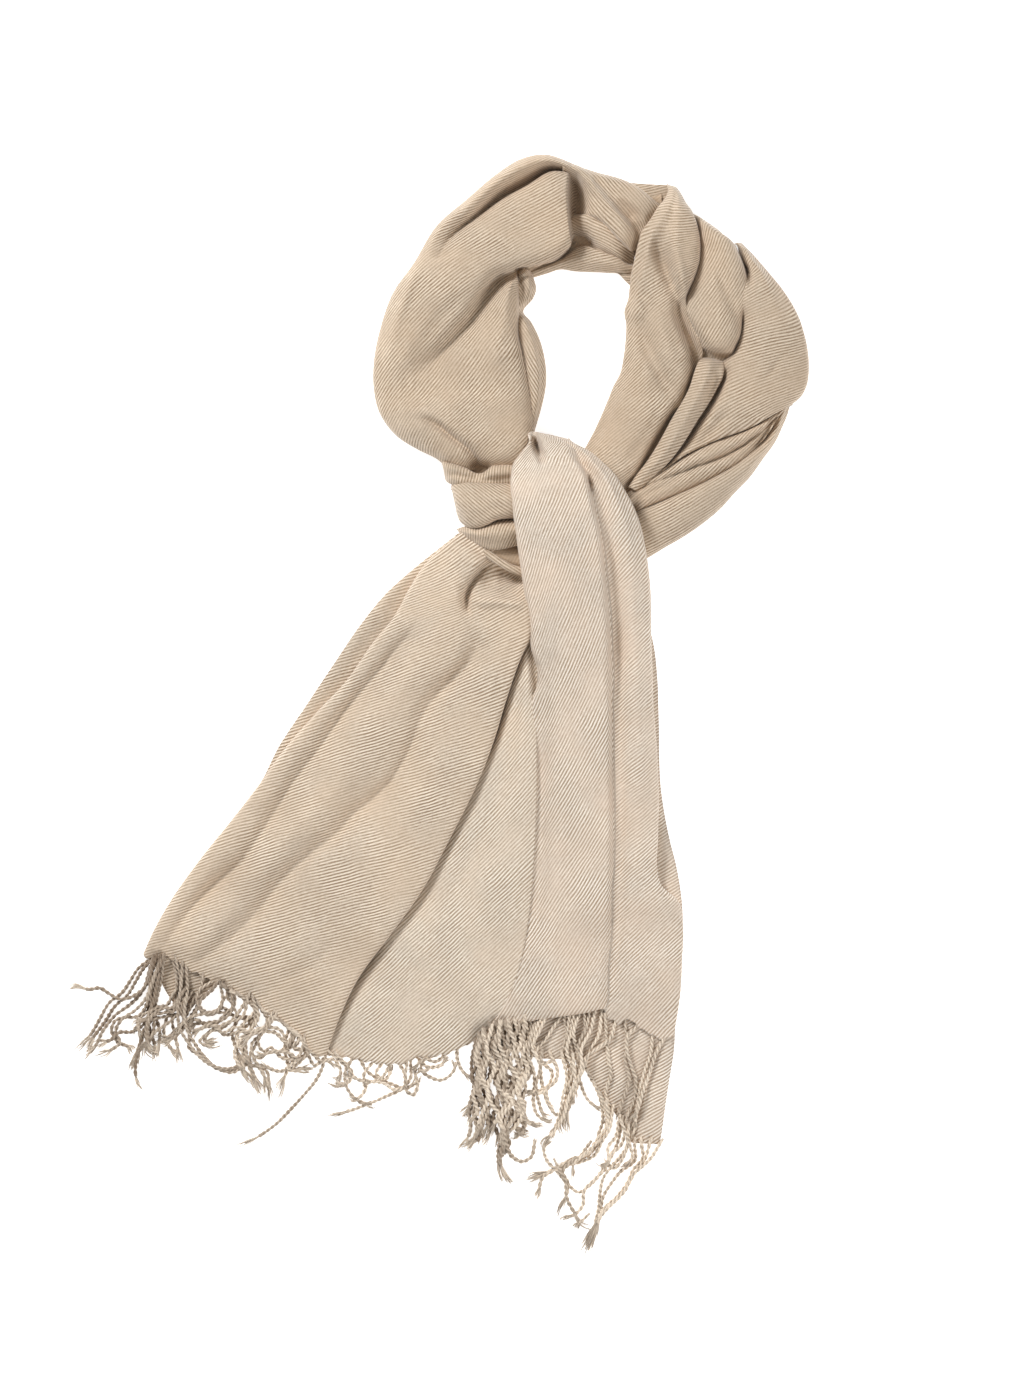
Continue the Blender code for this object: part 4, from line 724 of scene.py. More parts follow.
NECK_RIGHT_FINGER = folded((0.13, 0.28, 0.45, 0.64, 0.85), [
    ((107, 120.4), (116, 119.8), (16, 16), 22, 23, 23, 22, 20),
    ((103.5, 117.5), (121.5, 116.5), (20, 18), 29.9, 33.4, 34.5, 32.5, 28),
    ((100, 109), (121, 107), (24, 18), 34.5, 38.3, 39.5, 37.3, 32.5),
    ((96.5, 98), (116, 96.4), (26, 18), 34.5, 38.3, 39.5, 37.3, 32.5),
    ((91, 87), (109.5, 85), (25, 18), 34, 37.8, 39, 36.8, 32),
    ((84, 75.5), (102, 73.6), (19, 17), 32.5, 36.3, 37.5, 35.3, 30.5),
    ((77.5, 63.5), (95, 62), (14, 16), 30.2, 33.9, 35, 32.9, 28.4),
    ((71.5, 53), (88, 51.4), (12, 16), 28, 31, 32, 30.2, 26.4),
    ((65, 43), (79.5, 41), (12, 15), 25.8, 28.2, 29, 27.6, 24.4),
    ((57.5, 33.5), (69, 31), (12, 14), 22.8, 24.5, 25, 24, 21.9),
    ((51, 24), (58, 20), (12, 13), 20.5, 21.6, 22, 21.3, 19.9),
])
NECK_RIGHT_FINGER_STROKES = [
    stroke(2.6, 1.6, (0.2, 0.8), 99, 90, 92, 77, 84, 63, 76, 52, 66, 41),
    stroke(3.0, 4.5, (0.3, 1, 1, 0.8, 0.4), 115, 114, 115, 104, 111, 94, 106, 84, 99, 72),
]

# ---------------------------------------------------------------- the ring, lower side

NECK_LOWER_BAND = sections([
    ((174, 87), (167, 79.5), (2, 1), (0.12, 6), (0.3, 7), (0.5, 7), (0.68, 7), (0.88, 6)),
    ((169.5, 84), (163.5, 77), (8, 6), (0.12, 16), (0.3, 18), (0.5, 18), (0.68, 18), (0.88, 17)),
    ((161, 79.2), (156.5, 66.5), (18, 14), (0.12, 25), (0.3, 27.5), (0.5, 26), (0.68, 27), (0.88, 25.5)),
    ((150, 72.4), (150, 58), (19, 14), (0.12, 26.5), (0.3, 29), (0.48, 26), (0.64, 28.5), (0.88, 26)),
    ((138, 66.8), (141.5, 48.8), (19.5, 14), (0.12, 27), (0.3, 29.5), (0.5, 27.2), (0.66, 28.6),
     (0.88, 26)),
    ((122, 61.2), (127, 38), (19.5, 14), (0.12, 26.5), (0.3, 29), (0.52, 27), (0.66, 28.6), (0.88, 26)),
    ((108, 55.2), (112, 30), (18.5, 14), (0.12, 26), (0.3, 28.5), (0.53, 26.5), (0.66, 28), (0.88, 25.5)),
    ((95.8, 49.2), (99, 23.6), (17.5, 14), (0.12, 25), (0.3, 27.5), (0.53, 25.8), (0.66, 27.6), (0.88, 25)),
    ((82, 39.8), (85.5, 18), (16, 14), (0.12, 24), (0.3, 26.5), (0.52, 24), (0.66, 27), (0.88, 24.5)),
    ((68, 30.6), (71, 12), (15, 14), (0.12, 22.5), (0.3, 25), (0.5, 23), (0.66, 25.5), (0.88, 23.5)),
    ((54, 22), (58, 6.6), (14, 13), (0.12, 21), (0.3, 23), (0.5, 22), (0.66, 23.5), (0.88, 22)),
    ((44, 16), (47, 2), (12, 12), (0.12, 18), (0.3, 20), (0.5, 19), (0.66, 20), (0.88, 19)),
])
NECK_LOWER_BAND_STROKES = [
    stroke(3.4, 7, (0.4, 1, 1, 0.9, 0.3), 163, 79, 157, 71, 152, 63.5, 147, 57, 141, 51, power=1.6),
    stroke(3.2, 8, (0.3, 1), 60, 13, 54, 9, 48, 6),
    stroke(1.5, 5.0, (0.5, 1), 147, 64, 138, 55.5, 126, 48.3, 114, 43.2, 100, 39, 85, 33, 67, 26, 54, 20,
           power=1.4),
]
NECK_LOWER = sections([
    ((166, 84), (171.5, 84), (6, 0), (0.2, 12), (0.5, 12), (0.8, 8)),
    ((161, 78), (169.6, 78), (10, 0), (0.18, 18), (0.5, 19), (0.84, 14)),
    ((157, 69), (166, 69.6), (12, 0), (0.16, 20), (0.5, 21.5), (0.86, 16)),
    ((151, 58.6), (160.4, 58), (14, 0), (0.15, 22.5), (0.5, 24.5), (0.88, 18.5)),
    ((142, 50), (151.2, 45.4), (14, 0), (0.14, 25), (0.5, 27), (0.88, 20.5)),
    ((130.5, 41), (141.5, 32), (14, 0), (0.14, 27), (0.5, 29), (0.88, 22.5)),
    ((117, 33), (130, 20), (14, 0), (0.13, 28), (0.48, 30), (0.88, 23.5)),
    ((102, 25.4), (119, 8), (14, 0), (0.12, 28), (0.45, 30), (0.88, 24)),
    ((86, 18.6), (106.5, -2.5), (14, 0), (0.12, 27), (0.42, 29.5), (0.88, 24)),
    ((70, 11.6), (91.5, -12.8), (14, 0), (0.12, 26), (0.4, 28.5), (0.88, 23.5)),
    ((57, 6.4), (78, -20.6), (13, 0), (0.12, 24), (0.4, 26.5), (0.88, 22.5)),
    ((50, 0), (64, -29), (12, 0), (0.12, 21.5), (0.4, 23.5), (0.88, 20)),
    ((44, -8), (54, -34), (10, 0), (0.12, 17), (0.4, 19), (0.88, 16)),
])
NECK_LOWER_STROKES = [
    stroke(3.2, 7, (0.4, 1, 1, 0.6, 0.2), 162, 76, 157, 69, 152, 61, 146, 54, 140, 49, power=1.6),
    stroke(5, 0.9, (0.2, 0.6), 135, 36, 120, 22, 104, 12, 86, 2),
    stroke(4, -0.7, (0.2, 0.5), 124, 30, 108, 19, 90, 9),
]

# ---------------------------------------------------------------- the knot

KNOT_RUFFLE = folded((0.2, 0.5, 0.8), [
    ((-87.6, 39.5), (-86.4, 31), (2, 2), 6, 8, 6),
    ((-88.4, 43.6), (-84.6, 28.2), (2, 2), 19, 21, 18),
    ((-84, 42), (-79.5, 26), (4, 3), 27, 27, 25),
    ((-77, 40), (-73, 25.4), (14, 14), 29, 28, 27),
    ((-69, 37), (-67, 25), (14, 14), 28, 28, 27),
    ((-62.5, 34), (-61.5, 25), (14, 14), 26, 29, 28),
    ((-57, 34.5), (-56, 25), (14, 14), 29, 32, 29),
    ((-51.5, 38.6), (-51, 25), (14, 14), 33, 34.5, 31),
    ((-45, 39.6), (-45, 25), (14, 14), 34, 35.5, 31),
    ((-38, 39.8), (-38, 25), (14, 14), 34, 36, 32),
    ((-30, 39), (-31, 25), (14, 14), 33, 35, 31),
])
KNOT_RUFFLE_STROKES = [
    stroke(2.0, 3.2, (0.4, 0.8), -86, 34, -80, 33, -68, 30.5, -56, 29, -46, 30, -34, 31),
    stroke(2.2, 2.0, (0.2, 0.6), -80, 39, -72, 36, -64, 32),
    stroke(1.6, -1.2, (0.4, 0.6), -54, 36, -46, 36.5, -36, 36.5),
]
KNOT_WRAP = sections([
    ((-81.6, 24), (-77.6, 5), (2, 2), (0.2, 8), (0.5, 10), (0.8, 7)),
    ((-80.4, 26.6), (-75, -1), (3, 2), (0.2, 21), (0.5, 24), (0.8, 19)),
    ((-77, 27), (-70, -5), (6, 3), (0.14, 27), (0.5, 31), (0.84, 26)),
    ((-70, 27), (-62, -6.4), (12, 6), (0.12, 31), (0.5, 36), (0.86, 31)),
    ((-60, 26.6), (-54, -4), (14, 12), (0.1, 33), (0.5, 39), (0.88, 35)),
    ((-49, 26.4), (-47, -0.6), (14, 12), (0.1, 34), (0.5, 41), (0.9, 37)),
    ((-38, 26.4), (-36, 0.6), (14, 12), (0.1, 34), (0.5, 42), (0.9, 38)),
    ((-29, 26), (-28, 1), (14, 12), (0.1, 32), (0.5, 40), (0.9, 36)),
])
KNOT_WRAP_STROKES = [
    stroke(4, 1.0, (0.3, 0.6), -74, 22, -62, 14, -50, 9),
    stroke(3.5, 1.4, (0.4, 0.4), -66, 2, -54, 5, -42, 8),
    stroke(4, -0.8, (0.3, 0.4), -72, 12, -60, 20, -44, 21),
]
KNOT_UNDER = sections([
    ((-77.6, -7), (-75.4, -10.4), (2, 2), (0.25, 4), (0.5, 5), (0.75, 4)),
    ((-74, -6), (-71, -13.2), (2, 2), (0.2, 13), (0.5, 15), (0.8, 12)),
    ((-67, -4.6), (-63.6, -17.4), (5, 3), (0.2, 21), (0.5, 24), (0.8, 19)),
    ((-59, -2), (-56.6, -21), (10, 10), (0.16, 25), (0.5, 30), (0.84, 23)),
    ((-50, 1), (-49.4, -22.6), (10, 10), (0.14, 28), (0.45, 34), (0.86, 26)),
    ((-42, 2), (-40.6, -21.6), (10, 10), (0.14, 29), (0.45, 35.5), (0.86, 28)),
    ((-34, 2), (-32.4, -19.6), (10, 10), (0.14, 29), (0.45, 36), (0.86, 29)),
    ((-27, 1), (-26, -18), (10, 10), (0.14, 28), (0.45, 34), (0.86, 28)),
])
KNOT_UNDER_STROKES = [
    stroke(2.6, 7.0, (0.5, 1), -62, -6, -50, -0.8, -43, 0.2, -34.5, 1.5, power=1.6),
    stroke(3.5, -0.8, (0.3, 0.6), -60, -14, -48, -14, -36, -12),
]
KNOT_HEM = folded((0.3, 0.7), [
    ((-60, -20), (-58.6, -22.8), (5, 5), 12, 12),
    ((-54.4, -23.2), (-55.6, -27), (8, 8), 19, 19),
    ((-48.4, -27.2), (-50.2, -31.4), (9, 9), 21, 21),
    ((-42, -31.2), (-43.6, -35.6), (9, 9), 22, 22),
    ((-35.6, -34.6), (-37.2, -39.2), (9, 9), 23, 23),
    ((-29, -36.4), (-29.8, -41.6), (9, 9), 23, 23),
    ((-24, -37), (-24.4, -42.4), (8, 8), 21, 21),
])
KNOT_INSIDE = folded((0.4, 0.7), [
    ((-58, -17), (-56, -25.5), (6, 6), 13, 13),
    ((-48, -18), (-47.5, -30), (10, 10), 17, 17),
    ((-38, -18), (-37.4, -35.6), (12, 12), 18, 18),
    ((-27, -17), (-26, -39.5), (12, 12), 18, 18),
])

# ---------------------------------------------------------------- the left tail
# Folds: folded edge, groove beside it, ridge, second groove, ridge, inner shoulder.

TAIL_LEFT_FRONT = sections([
    ((-73, -9), (-24, -34), (3, 12), (0.15, 13), (0.3, 16), (0.45, 16), (0.65, 14), (0.8, 13), (0.92, 14)),
    ((-83.5, -17), (-23, -43), (3, 12), (0.12, 14.5), (0.28, 19), (0.44, 20), (0.6, 15), (0.78, 13),
     (0.92, 16)),
    ((-93, -25), (-22, -51), (3, 12), (0.1, 15.5), (0.25, 21), (0.4, 22.5), (0.55, 17), (0.74, 17),
     (0.93, 21)),
    ((-103, -36), (-20.5, -58), (3, 11), (0.09, 16), (0.22, 21), (0.38, 22.5), (0.52, 18), (0.72, 22),
     (0.93, 24)),
    ((-112, -50), (-18.5, -68), (3, 10), (0.08, 16), (0.2, 20.5), (0.35, 22), (0.5, 19), (0.72, 26),
     (0.93, 25)),
    ((-124, -72), (-18.5, -82), (3, 9), (0.08, 15), (0.18, 18), (0.35, 21), (0.58, 20), (0.77, 25),
     (0.9, 23)),
    ((-140, -92), (-28.5, -102), (3, 10), (0.08, 15), (0.17, 14), (0.38, 20.5), (0.64, 17.5), (0.84, 23),
     (0.95, 22)),
    ((-161, -122), (-40.5, -136), (3, 10), (0.07, 15), (0.16, 12), (0.36, 20), (0.57, 15.5), (0.8, 21),
     (0.95, 20.5)),
    ((-180, -142), (-48.6, -163), (3, 8), (0.06, 15), (0.14, 12), (0.34, 19), (0.55, 14.5), (0.8, 20),
     (0.95, 19.5)),
    ((-205, -170), (-61.5, -197), (3, 8), (0.06, 14), (0.15, 11), (0.36, 18.5), (0.58, 13.5), (0.82, 19),
     (0.95, 18.5)),
    ((-228, -202), (-82.5, -239), (3, 8), (0.06, 14), (0.15, 11), (0.32, 17), (0.5, 13), (0.78, 18),
     (0.95, 17.5)),
    ((-250, -230), (-103.5, -278), (2.6, 7), (0.06, 13), (0.15, 11), (0.28, 16), (0.42, 12), (0.75, 18),
     (0.95, 17)),
    ((-270, -255), (-127, -311), (2.4, 6), (0.06, 13), (0.14, 10), (0.26, 15), (0.38, 11), (0.72, 16),
     (0.95, 15)),
    ((-292, -286), (-153, -347), (2.2, 5), (0.05, 12), (0.11, 10), (0.24, 14), (0.36, 10), (0.7, 14),
     (0.95, 13)),
    ((-304, -307), (-165.5, -374), (2, 4), (0.05, 10), (0.1, 9), (0.22, 11.5), (0.32, 9), (0.68, 11.5),
     (0.95, 11)),
    ((-312, -325), (-175, -401), (1.6, 2.5), (0.05, 4.5), (0.1, 4), (0.2, 6), (0.28, 4.5), (0.65, 6.5),
     (0.95, 5)),
])
TAIL_LEFT_FRONT_HEM = [
    (0, 0, 0), (0.03, -1, -1.8), (0.083, 0.7, 1.3), (0.124, 3, 5.4), (0.172, 3.4, 6.1), (0.24, 3, 5.3),
    (0.41, 3.5, 6.1), (0.55, 3.8, 6.7), (0.67, 2.2, 3.9), (0.816, 2.2, 4), (0.87, 0, 0),
    (0.916, -2.5, -4.4), (0.978, -1, -1.7), (1, 0, 0),
]
TAIL_LEFT_FRONT_STROKES = [
    stroke(5, 3.0, (0.3, 0.6), -66, -92, -72, -106, -82, -117, -94, -127),
    stroke(7, 1.8, (0.2, 0.4), -190, -214, -206, -228, -225, -246, -245, -264, -262, -280),
    stroke(4.6, 4.4, (0.1, 0.8, 1, 1, 1, 1, 1, 1, 1, 1, 1, 1, 1, 1, 1, 0.9, 0.7, 0.4), -108, -78, -115, -89,
           -125, -99, -133, -109, -145, -122, -155, -134, -163, -145, -171, -157, -181, -172, -191, -184,
           -201, -197, -220, -228, -239, -257, -252, -267, -266, -279, -278, -292, -287, -306, -295, -317,
           power=1.6),
    stroke(5.5, 5.4, (0.3, 0.8, 1, 1, 1, 1, 1, 1, 1, 1, 1, 1, 1, 1, 1, 1, 1, 1, 0.9, 0.6, 0.4), -66, -80,
           -62, -95, -67, -108, -78, -119, -90, -129, -98, -137, -106, -150, -110, -164, -116, -177,
           -127, -195, -140, -208, -155, -220, -169, -236, -183, -246, -196, -257, -210, -271, -221, -286,
           -233, -300, -247, -313, -258, -323, -272, -331, power=1.8),
    stroke(3.5, -1.3, (0.2, 0.6), -104, -140, -112, -158, -120, -176, -133, -196, -150, -212),
    stroke(5, 1.6, (0.2, 0.6), -165, -308, -170, -318, -185, -335, -206, -344, -221, -356),
    stroke(9, -1.2, (0.2, 0.4), -130, -165, -145, -182, -175, -210, -205, -232, -225, -248),
    stroke(5, 1.2, (0.2, 0.4), -90, -160, -98, -178, -104, -196),
    stroke(7, 1.3, (0.2, 0.4), -96, -205, -110, -232, -130, -262, -150, -290),
    stroke(7, 1.0, (0.2, 0.6), -150, -250, -170, -276, -192, -302, -215, -330),
    stroke(2.6, 9.0, (0.5, 1, 1, 1, 1, 0.7, 0.1), -50, -31, -58, -37, -64, -45, -68, -52, -70, -59,
           -70, -66, -66, -73),
    stroke(9, 9, (1, 1), -52, -44, -43, -46, -34, -47),
    stroke(4, 8, (0.5, 1), -48, -36, -42, -41, -33, -44),
    stroke(3.2, 4, (0.4, 1), -72, -15, -62, -22, -54, -29),
    stroke(4, -4.5, (0.3, 0.8), -64, -60, -56, -61.5, -44, -61.5, -32, -63),
    stroke(4.5, -2.5, (0.4, 1, 0.8, 0.2), -74, -40, -78, -50, -78, -62, -75, -72),
    stroke(4, -1.0, (0.2, 0.6), -96, -34, -104, -50, -112, -66, -124, -84),
    stroke(5, 1.0, (0.2, 0.5), -84, -40, -92, -56, -98, -72),
    stroke(5, -0.8, (0.2, 0.4), -34, -84, -44, -104, -54, -130, -66, -158),
]
TAIL_LEFT_FOLD = sections([
    ((-24, -90), (-17, -90), (6, 8), (0.2, 11), (0.4, 12), (0.6, 13), (0.8, 12)),
    ((-29, -103), (-17, -104), (6, 9), (0.2, 13), (0.4, 15), (0.6, 16), (0.8, 14)),
    ((-38, -122), (-16, -122), (6, 11), (0.25, 13), (0.45, 16), (0.65, 18.5), (0.85, 16)),
    ((-47, -147), (-18, -147), (6, 16), (0.25, 12), (0.45, 14), (0.7, 19), (0.88, 18)),
    ((-57, -176), (-17.8, -173), (6, 16.5), (0.25, 12), (0.45, 13), (0.72, 18.5), (0.9, 18)),
    ((-70, -207), (-17.8, -205), (6, 15.5), (0.25, 12), (0.45, 13), (0.74, 17.5), (0.92, 17)),
    ((-88.5, -244), (-19, -240), (6, 14.5), (0.2, 12), (0.4, 13), (0.74, 16.5), (0.92, 16)),
    ((-109.5, -285), (-21.5, -278), (5.5, 13.5), (0.2, 12), (0.4, 13), (0.7, 15.5), (0.93, 15)),
    ((-132.5, -317), (-26, -313), (5, 12), (0.2, 11), (0.4, 12.5), (0.7, 14), (0.92, 13.2)),
    ((-155, -347), (-33, -343), (4.5, 10.5), (0.2, 9.5), (0.4, 11), (0.7, 12), (0.92, 11.3)),
    ((-168, -372), (-42, -367), (4, 7.6), (0.2, 8), (0.4, 9.5), (0.68, 9.5), (0.92, 8.2)),
    ((-181, -400), (-57, -386), (1.6, 2.6), (0.2, 4), (0.4, 5.5), (0.68, 5.5), (0.9, 3.4)),
])
TAIL_LEFT_FOLD_HEM = [
    (0, 0, 0), (0.05, 0, -1.5), (0.11, 0, -2.2), (0.149, 0.7, -4.5), (0.283, 1.5, -9.8),
    (0.393, 2.1, -13.7), (0.498, 2.2, -14.5), (0.574, 1.6, -10.8), (0.653, 1.7, -11.6), (0.742, 1.7, -11.1),
    (0.834, 1.3, -8.2), (0.9, 0.8, -5.3), (1, 0, 0),
]
TAIL_LEFT_FOLD_STROKES = [
    stroke(3.5, 6, (0.3, 0.6), -25, -82, -22, -98, -20, -115, -18, -130),
    stroke(3.2, 5, (0.2, 0.3), -42, -128, -45, -145, -50, -162, -56, -178),
    stroke(5.5, 6, (0.1, 0.8, 1, 1, 0.7, 0.3), -134, -316, -146, -330, -155, -342, -162, -355, -170, -372,
           -176, -392),
    stroke(5, 1.2, (0.2, 0.5), -45, -200, -55, -230, -70, -262, -90, -296),
    stroke(9, -1.0, (0.2, 0.6), -51, -300, -63, -335, -80, -362, -98, -388),
    stroke(5, 1.2, (0.2, 0.5), -90, -320, -104, -345, -122, -372, -134, -398),
    stroke(4, 1.0, (0.2, 0.6), -47, -330, -56, -352, -68, -376),
]
TAIL_LEFT_BACK = folded((0.03, 0.3, 0.7), [
    ((-76, -10), (-36, -50), (0, 0), 2.2, 2, 2),
    ((-90, -21), (-34, -58), (0, 0), 2.4, 2, 2),
    ((-110, -37), (-31, -72), (0, 0), 2.4, 2, 2),
    ((-130, -55), (-28, -88), (0, 0), 2.6, 2, 2),
    ((-150, -79.5), (-27, -110), (0, 0), 2.6, 2, 2),
    ((-170, -109), (-27, -132), (0, 0), 2.4, 2, 2),
    ((-190, -139), (-27, -160), (0, 0), 2.4, 2, 2),
    ((-210, -169), (-27, -190), (0, 0), 2.2, 2, 2),
    ((-225, -198), (-27, -225), (0, 0), 2.0, 2, 2),
    ((-249, -229), (-30, -255), (0, 0), 1.8, 1.8, 1.8),
    ((-275, -264), (-33, -295), (0, 0), 1.8, 1.8, 1.8),
    ((-300, -305), (-44, -335), (0, 0), 1.8, 1.8, 1.8),
    ((-306, -325), (-60, -355), (0, 0), 1.8, 1.8, 1.8),
    ((-302, -338), (-80, -368), (0, 0), 1.8, 1.8, 1.6),
    ((-295, -354), (-100, -380), (0, 0), 1.8, 1.8, 1.6),
    ((-284, -370), (-110, -393), (0, 0), 1.6, 1.6, 1.6),
])
TAIL_LEFT_END = folded((0.2, 0.8), [
    ((-66, -380), (-22, -364), (0, 0), 2, 2),
    ((-64, -393), (-20, -386), (0, 0), 1.8, 1.8),
    ((-61, -399), (-24, -397), (0, 0), 1.6, 1.6),
])
TAIL_LEFT_BACK_HEM = [
    (0, 0, 0), (0.04, 0, 3), (0.09, 0, 14), (0.15, 0, 26), (0.22, 0, 30), (0.3, 0, 28), (0.45, 0, 16),
    (0.6, 0, 8), (1, 0, 0),
]

# ---------------------------------------------------------------- the right tail
# Folds: left shoulder, left pleat, its middle, its edge, groove, right pleat, right shoulder.

TAIL_RIGHT_FRONT = sections([
    ((-23, 66), (7, 59.5), (20, 22), (0.1, 26), (0.3, 29), (0.5, 30), (0.68, 29), (0.75, 28), (0.85, 28),
     (0.94, 26)),
    ((-24.5, 63), (10, 56.5), (24, 27), (0.1, 34.5), (0.3, 40), (0.5, 41), (0.68, 40), (0.75, 38),
     (0.85, 38.5), (0.94, 35)),
    ((-23.5, 57), (19, 51.5), (28, 28), (0.1, 39.5), (0.3, 46.5), (0.5, 48), (0.7, 46.5), (0.77, 42),
     (0.86, 43.5), (0.94, 39.5)),
    ((-28.5, 50), (26, 46.5), (28, 28), (0.08, 42), (0.3, 50), (0.5, 51.5), (0.69, 50), (0.77, 43.5),
     (0.87, 46.5), (0.95, 41.5)),
    ((-34.5, 42), (32, 41), (28, 28), (0.08, 44.5), (0.3, 53), (0.5, 54.5), (0.69, 53), (0.765, 45),
     (0.87, 48.5), (0.95, 43)),
    ((-36.6, 33), (40, 33), (28, 28), (0.07, 46), (0.29, 54), (0.49, 55.5), (0.70, 54), (0.77, 46),
     (0.87, 50), (0.95, 44.5)),
    ((-37, 22), (47, 22), (26, 27), (0.07, 47.5), (0.28, 56), (0.47, 57), (0.68, 55), (0.755, 47.5),
     (0.87, 52), (0.95, 45)),
    ((-36, 9), (54, 9), (24, 26), (0.07, 48), (0.28, 56.5), (0.46, 57), (0.655, 55.5), (0.73, 48),
     (0.86, 52), (0.95, 45)),
    ((-33.8, -5), (59.3, -5), (22, 25), (0.07, 46.5), (0.28, 55), (0.46, 56), (0.645, 54.5), (0.715, 47.5),
     (0.85, 51), (0.95, 43)),
    ((-31.5, -22), (63, -22), (18, 22), (0.07, 43), (0.28, 52.5), (0.45, 53.5), (0.64, 52), (0.71, 44.5),
     (0.85, 48.5), (0.95, 40)),
    ((-29, -39), (65.6, -39), (14, 14), (0.07, 38.5), (0.28, 48), (0.45, 48.5), (0.63, 47), (0.705, 39.5),
     (0.85, 44), (0.95, 36)),
    ((-26.6, -56), (67.2, -56), (10, 6), (0.07, 33), (0.28, 43), (0.45, 43.5), (0.63, 42), (0.705, 34.5),
     (0.85, 39), (0.95, 31.5)),
    ((-22.8, -78), (67.7, -78), (8, 3), (0.07, 28), (0.28, 37.5), (0.44, 38), (0.635, 36.5), (0.71, 29.5),
     (0.85, 34), (0.95, 27)),
    ((-21.6, -96), (68, -96), (8, 2.4), (0.07, 25), (0.28, 34), (0.44, 34.5), (0.635, 33), (0.71, 26),
     (0.85, 31), (0.95, 24)),
    ((-17, -113), (68.8, -113), (8, 2.4), (0.07, 22.5), (0.28, 31), (0.43, 31.5), (0.625, 30), (0.70, 24),
     (0.85, 28.5), (0.95, 21.5)),
    ((-17.5, -125), (69.1, -125), (8, 2.4), (0.07, 21.5), (0.28, 29), (0.43, 29.5), (0.62, 28.5),
     (0.70, 22.5), (0.85, 27), (0.95, 20.5)),
    ((-21.6, -136), (69.4, -136), (8.5, 2.4), (0.07, 20), (0.28, 27.5), (0.43, 28), (0.63, 27),
     (0.70, 21.5), (0.85, 25.5), (0.95, 19)),
    ((-22, -150), (70.5, -150), (9, 2.4), (0.07, 19), (0.28, 26), (0.43, 26.5), (0.63, 25.5), (0.70, 20),
     (0.85, 24), (0.95, 18)),
    ((-21.3, -175), (72.4, -175), (9.5, 2.4), (0.07, 17.5), (0.27, 24), (0.43, 24.5), (0.615, 23.5),
     (0.69, 18.5), (0.84, 22.5), (0.95, 17)),
    ((-21.3, -207), (73.5, -207), (9.5, 2.4), (0.07, 16), (0.27, 22), (0.43, 22), (0.61, 21.5), (0.69, 17),
     (0.84, 21), (0.95, 16)),
    ((-22.2, -238), (73, -238), (9, 2.4), (0.07, 15), (0.27, 20), (0.43, 20.5), (0.62, 20), (0.70, 15.5),
     (0.84, 19), (0.95, 14.5)),
    ((-23, -263), (72.5, -262), (8.5, 2.4), (0.07, 14), (0.27, 19), (0.43, 19), (0.615, 18.5), (0.70, 14.5),
     (0.84, 17.5), (0.95, 13.5)),
    ((-24.3, -280), (76, -274), (8, 2.4), (0.07, 13), (0.26, 18), (0.42, 18), (0.58, 17.5), (0.67, 14),
     (0.83, 17), (0.95, 13)),
    ((-26.6, -298), (88.5, -286), (7.5, 2.4), (0.07, 12.5), (0.26, 17.5), (0.4, 17.5), (0.52, 17),
     (0.61, 13), (0.81, 16.5), (0.96, 12.5)),
    ((-29.5, -318), (92, -306), (7, 2.4), (0.07, 12), (0.26, 16), (0.38, 16), (0.51, 15.5), (0.6, 12),
     (0.8, 15.5), (0.96, 12)),
    ((-34.5, -338), (91.3, -328), (6, 2.4), (0.07, 11), (0.26, 14.5), (0.38, 14.5), (0.52, 14), (0.6, 11),
     (0.8, 14), (0.96, 11)),
    ((-44, -366), (89.5, -358), (4.5, 2), (0.07, 9), (0.26, 11.5), (0.4, 11.5), (0.56, 11), (0.63, 9),
     (0.8, 11), (0.96, 9)),
    ((-59, -390), (85, -387), (3, 1.8), (0.07, 5), (0.26, 7), (0.42, 7), (0.6, 7), (0.66, 5), (0.8, 6.5),
     (0.96, 5)),
])
TAIL_RIGHT_CREASE = 0.69  # share across, where the twill's direction changes
TAIL_RIGHT_HEADINGS = [
    (68, 58), (67, 52), (70, 40), (67, 36), (62, 35), (59, 37), (57, 40), (56, 46), (57, 44),
]
TAIL_RIGHT_FRONT_HEM = [
    (0, 0, 0), (0.07, 0, 10), (0.13, 0, 11.8), (0.257, 0, 14), (0.347, 0, 15.5), (0.43, 0, 17),
    (0.486, 0, 18), (0.535, 0, 19), (0.59, 0, 21.6), (0.618, 0, 22.5), (0.646, 0, 15), (0.7, 0, 10),
    (0.75, 0, 14.5), (0.806, 0, 7), (0.889, 0, -0.5), (0.927, 0, -2.5), (0.98, 0, 1), (1, 0, 0),
]
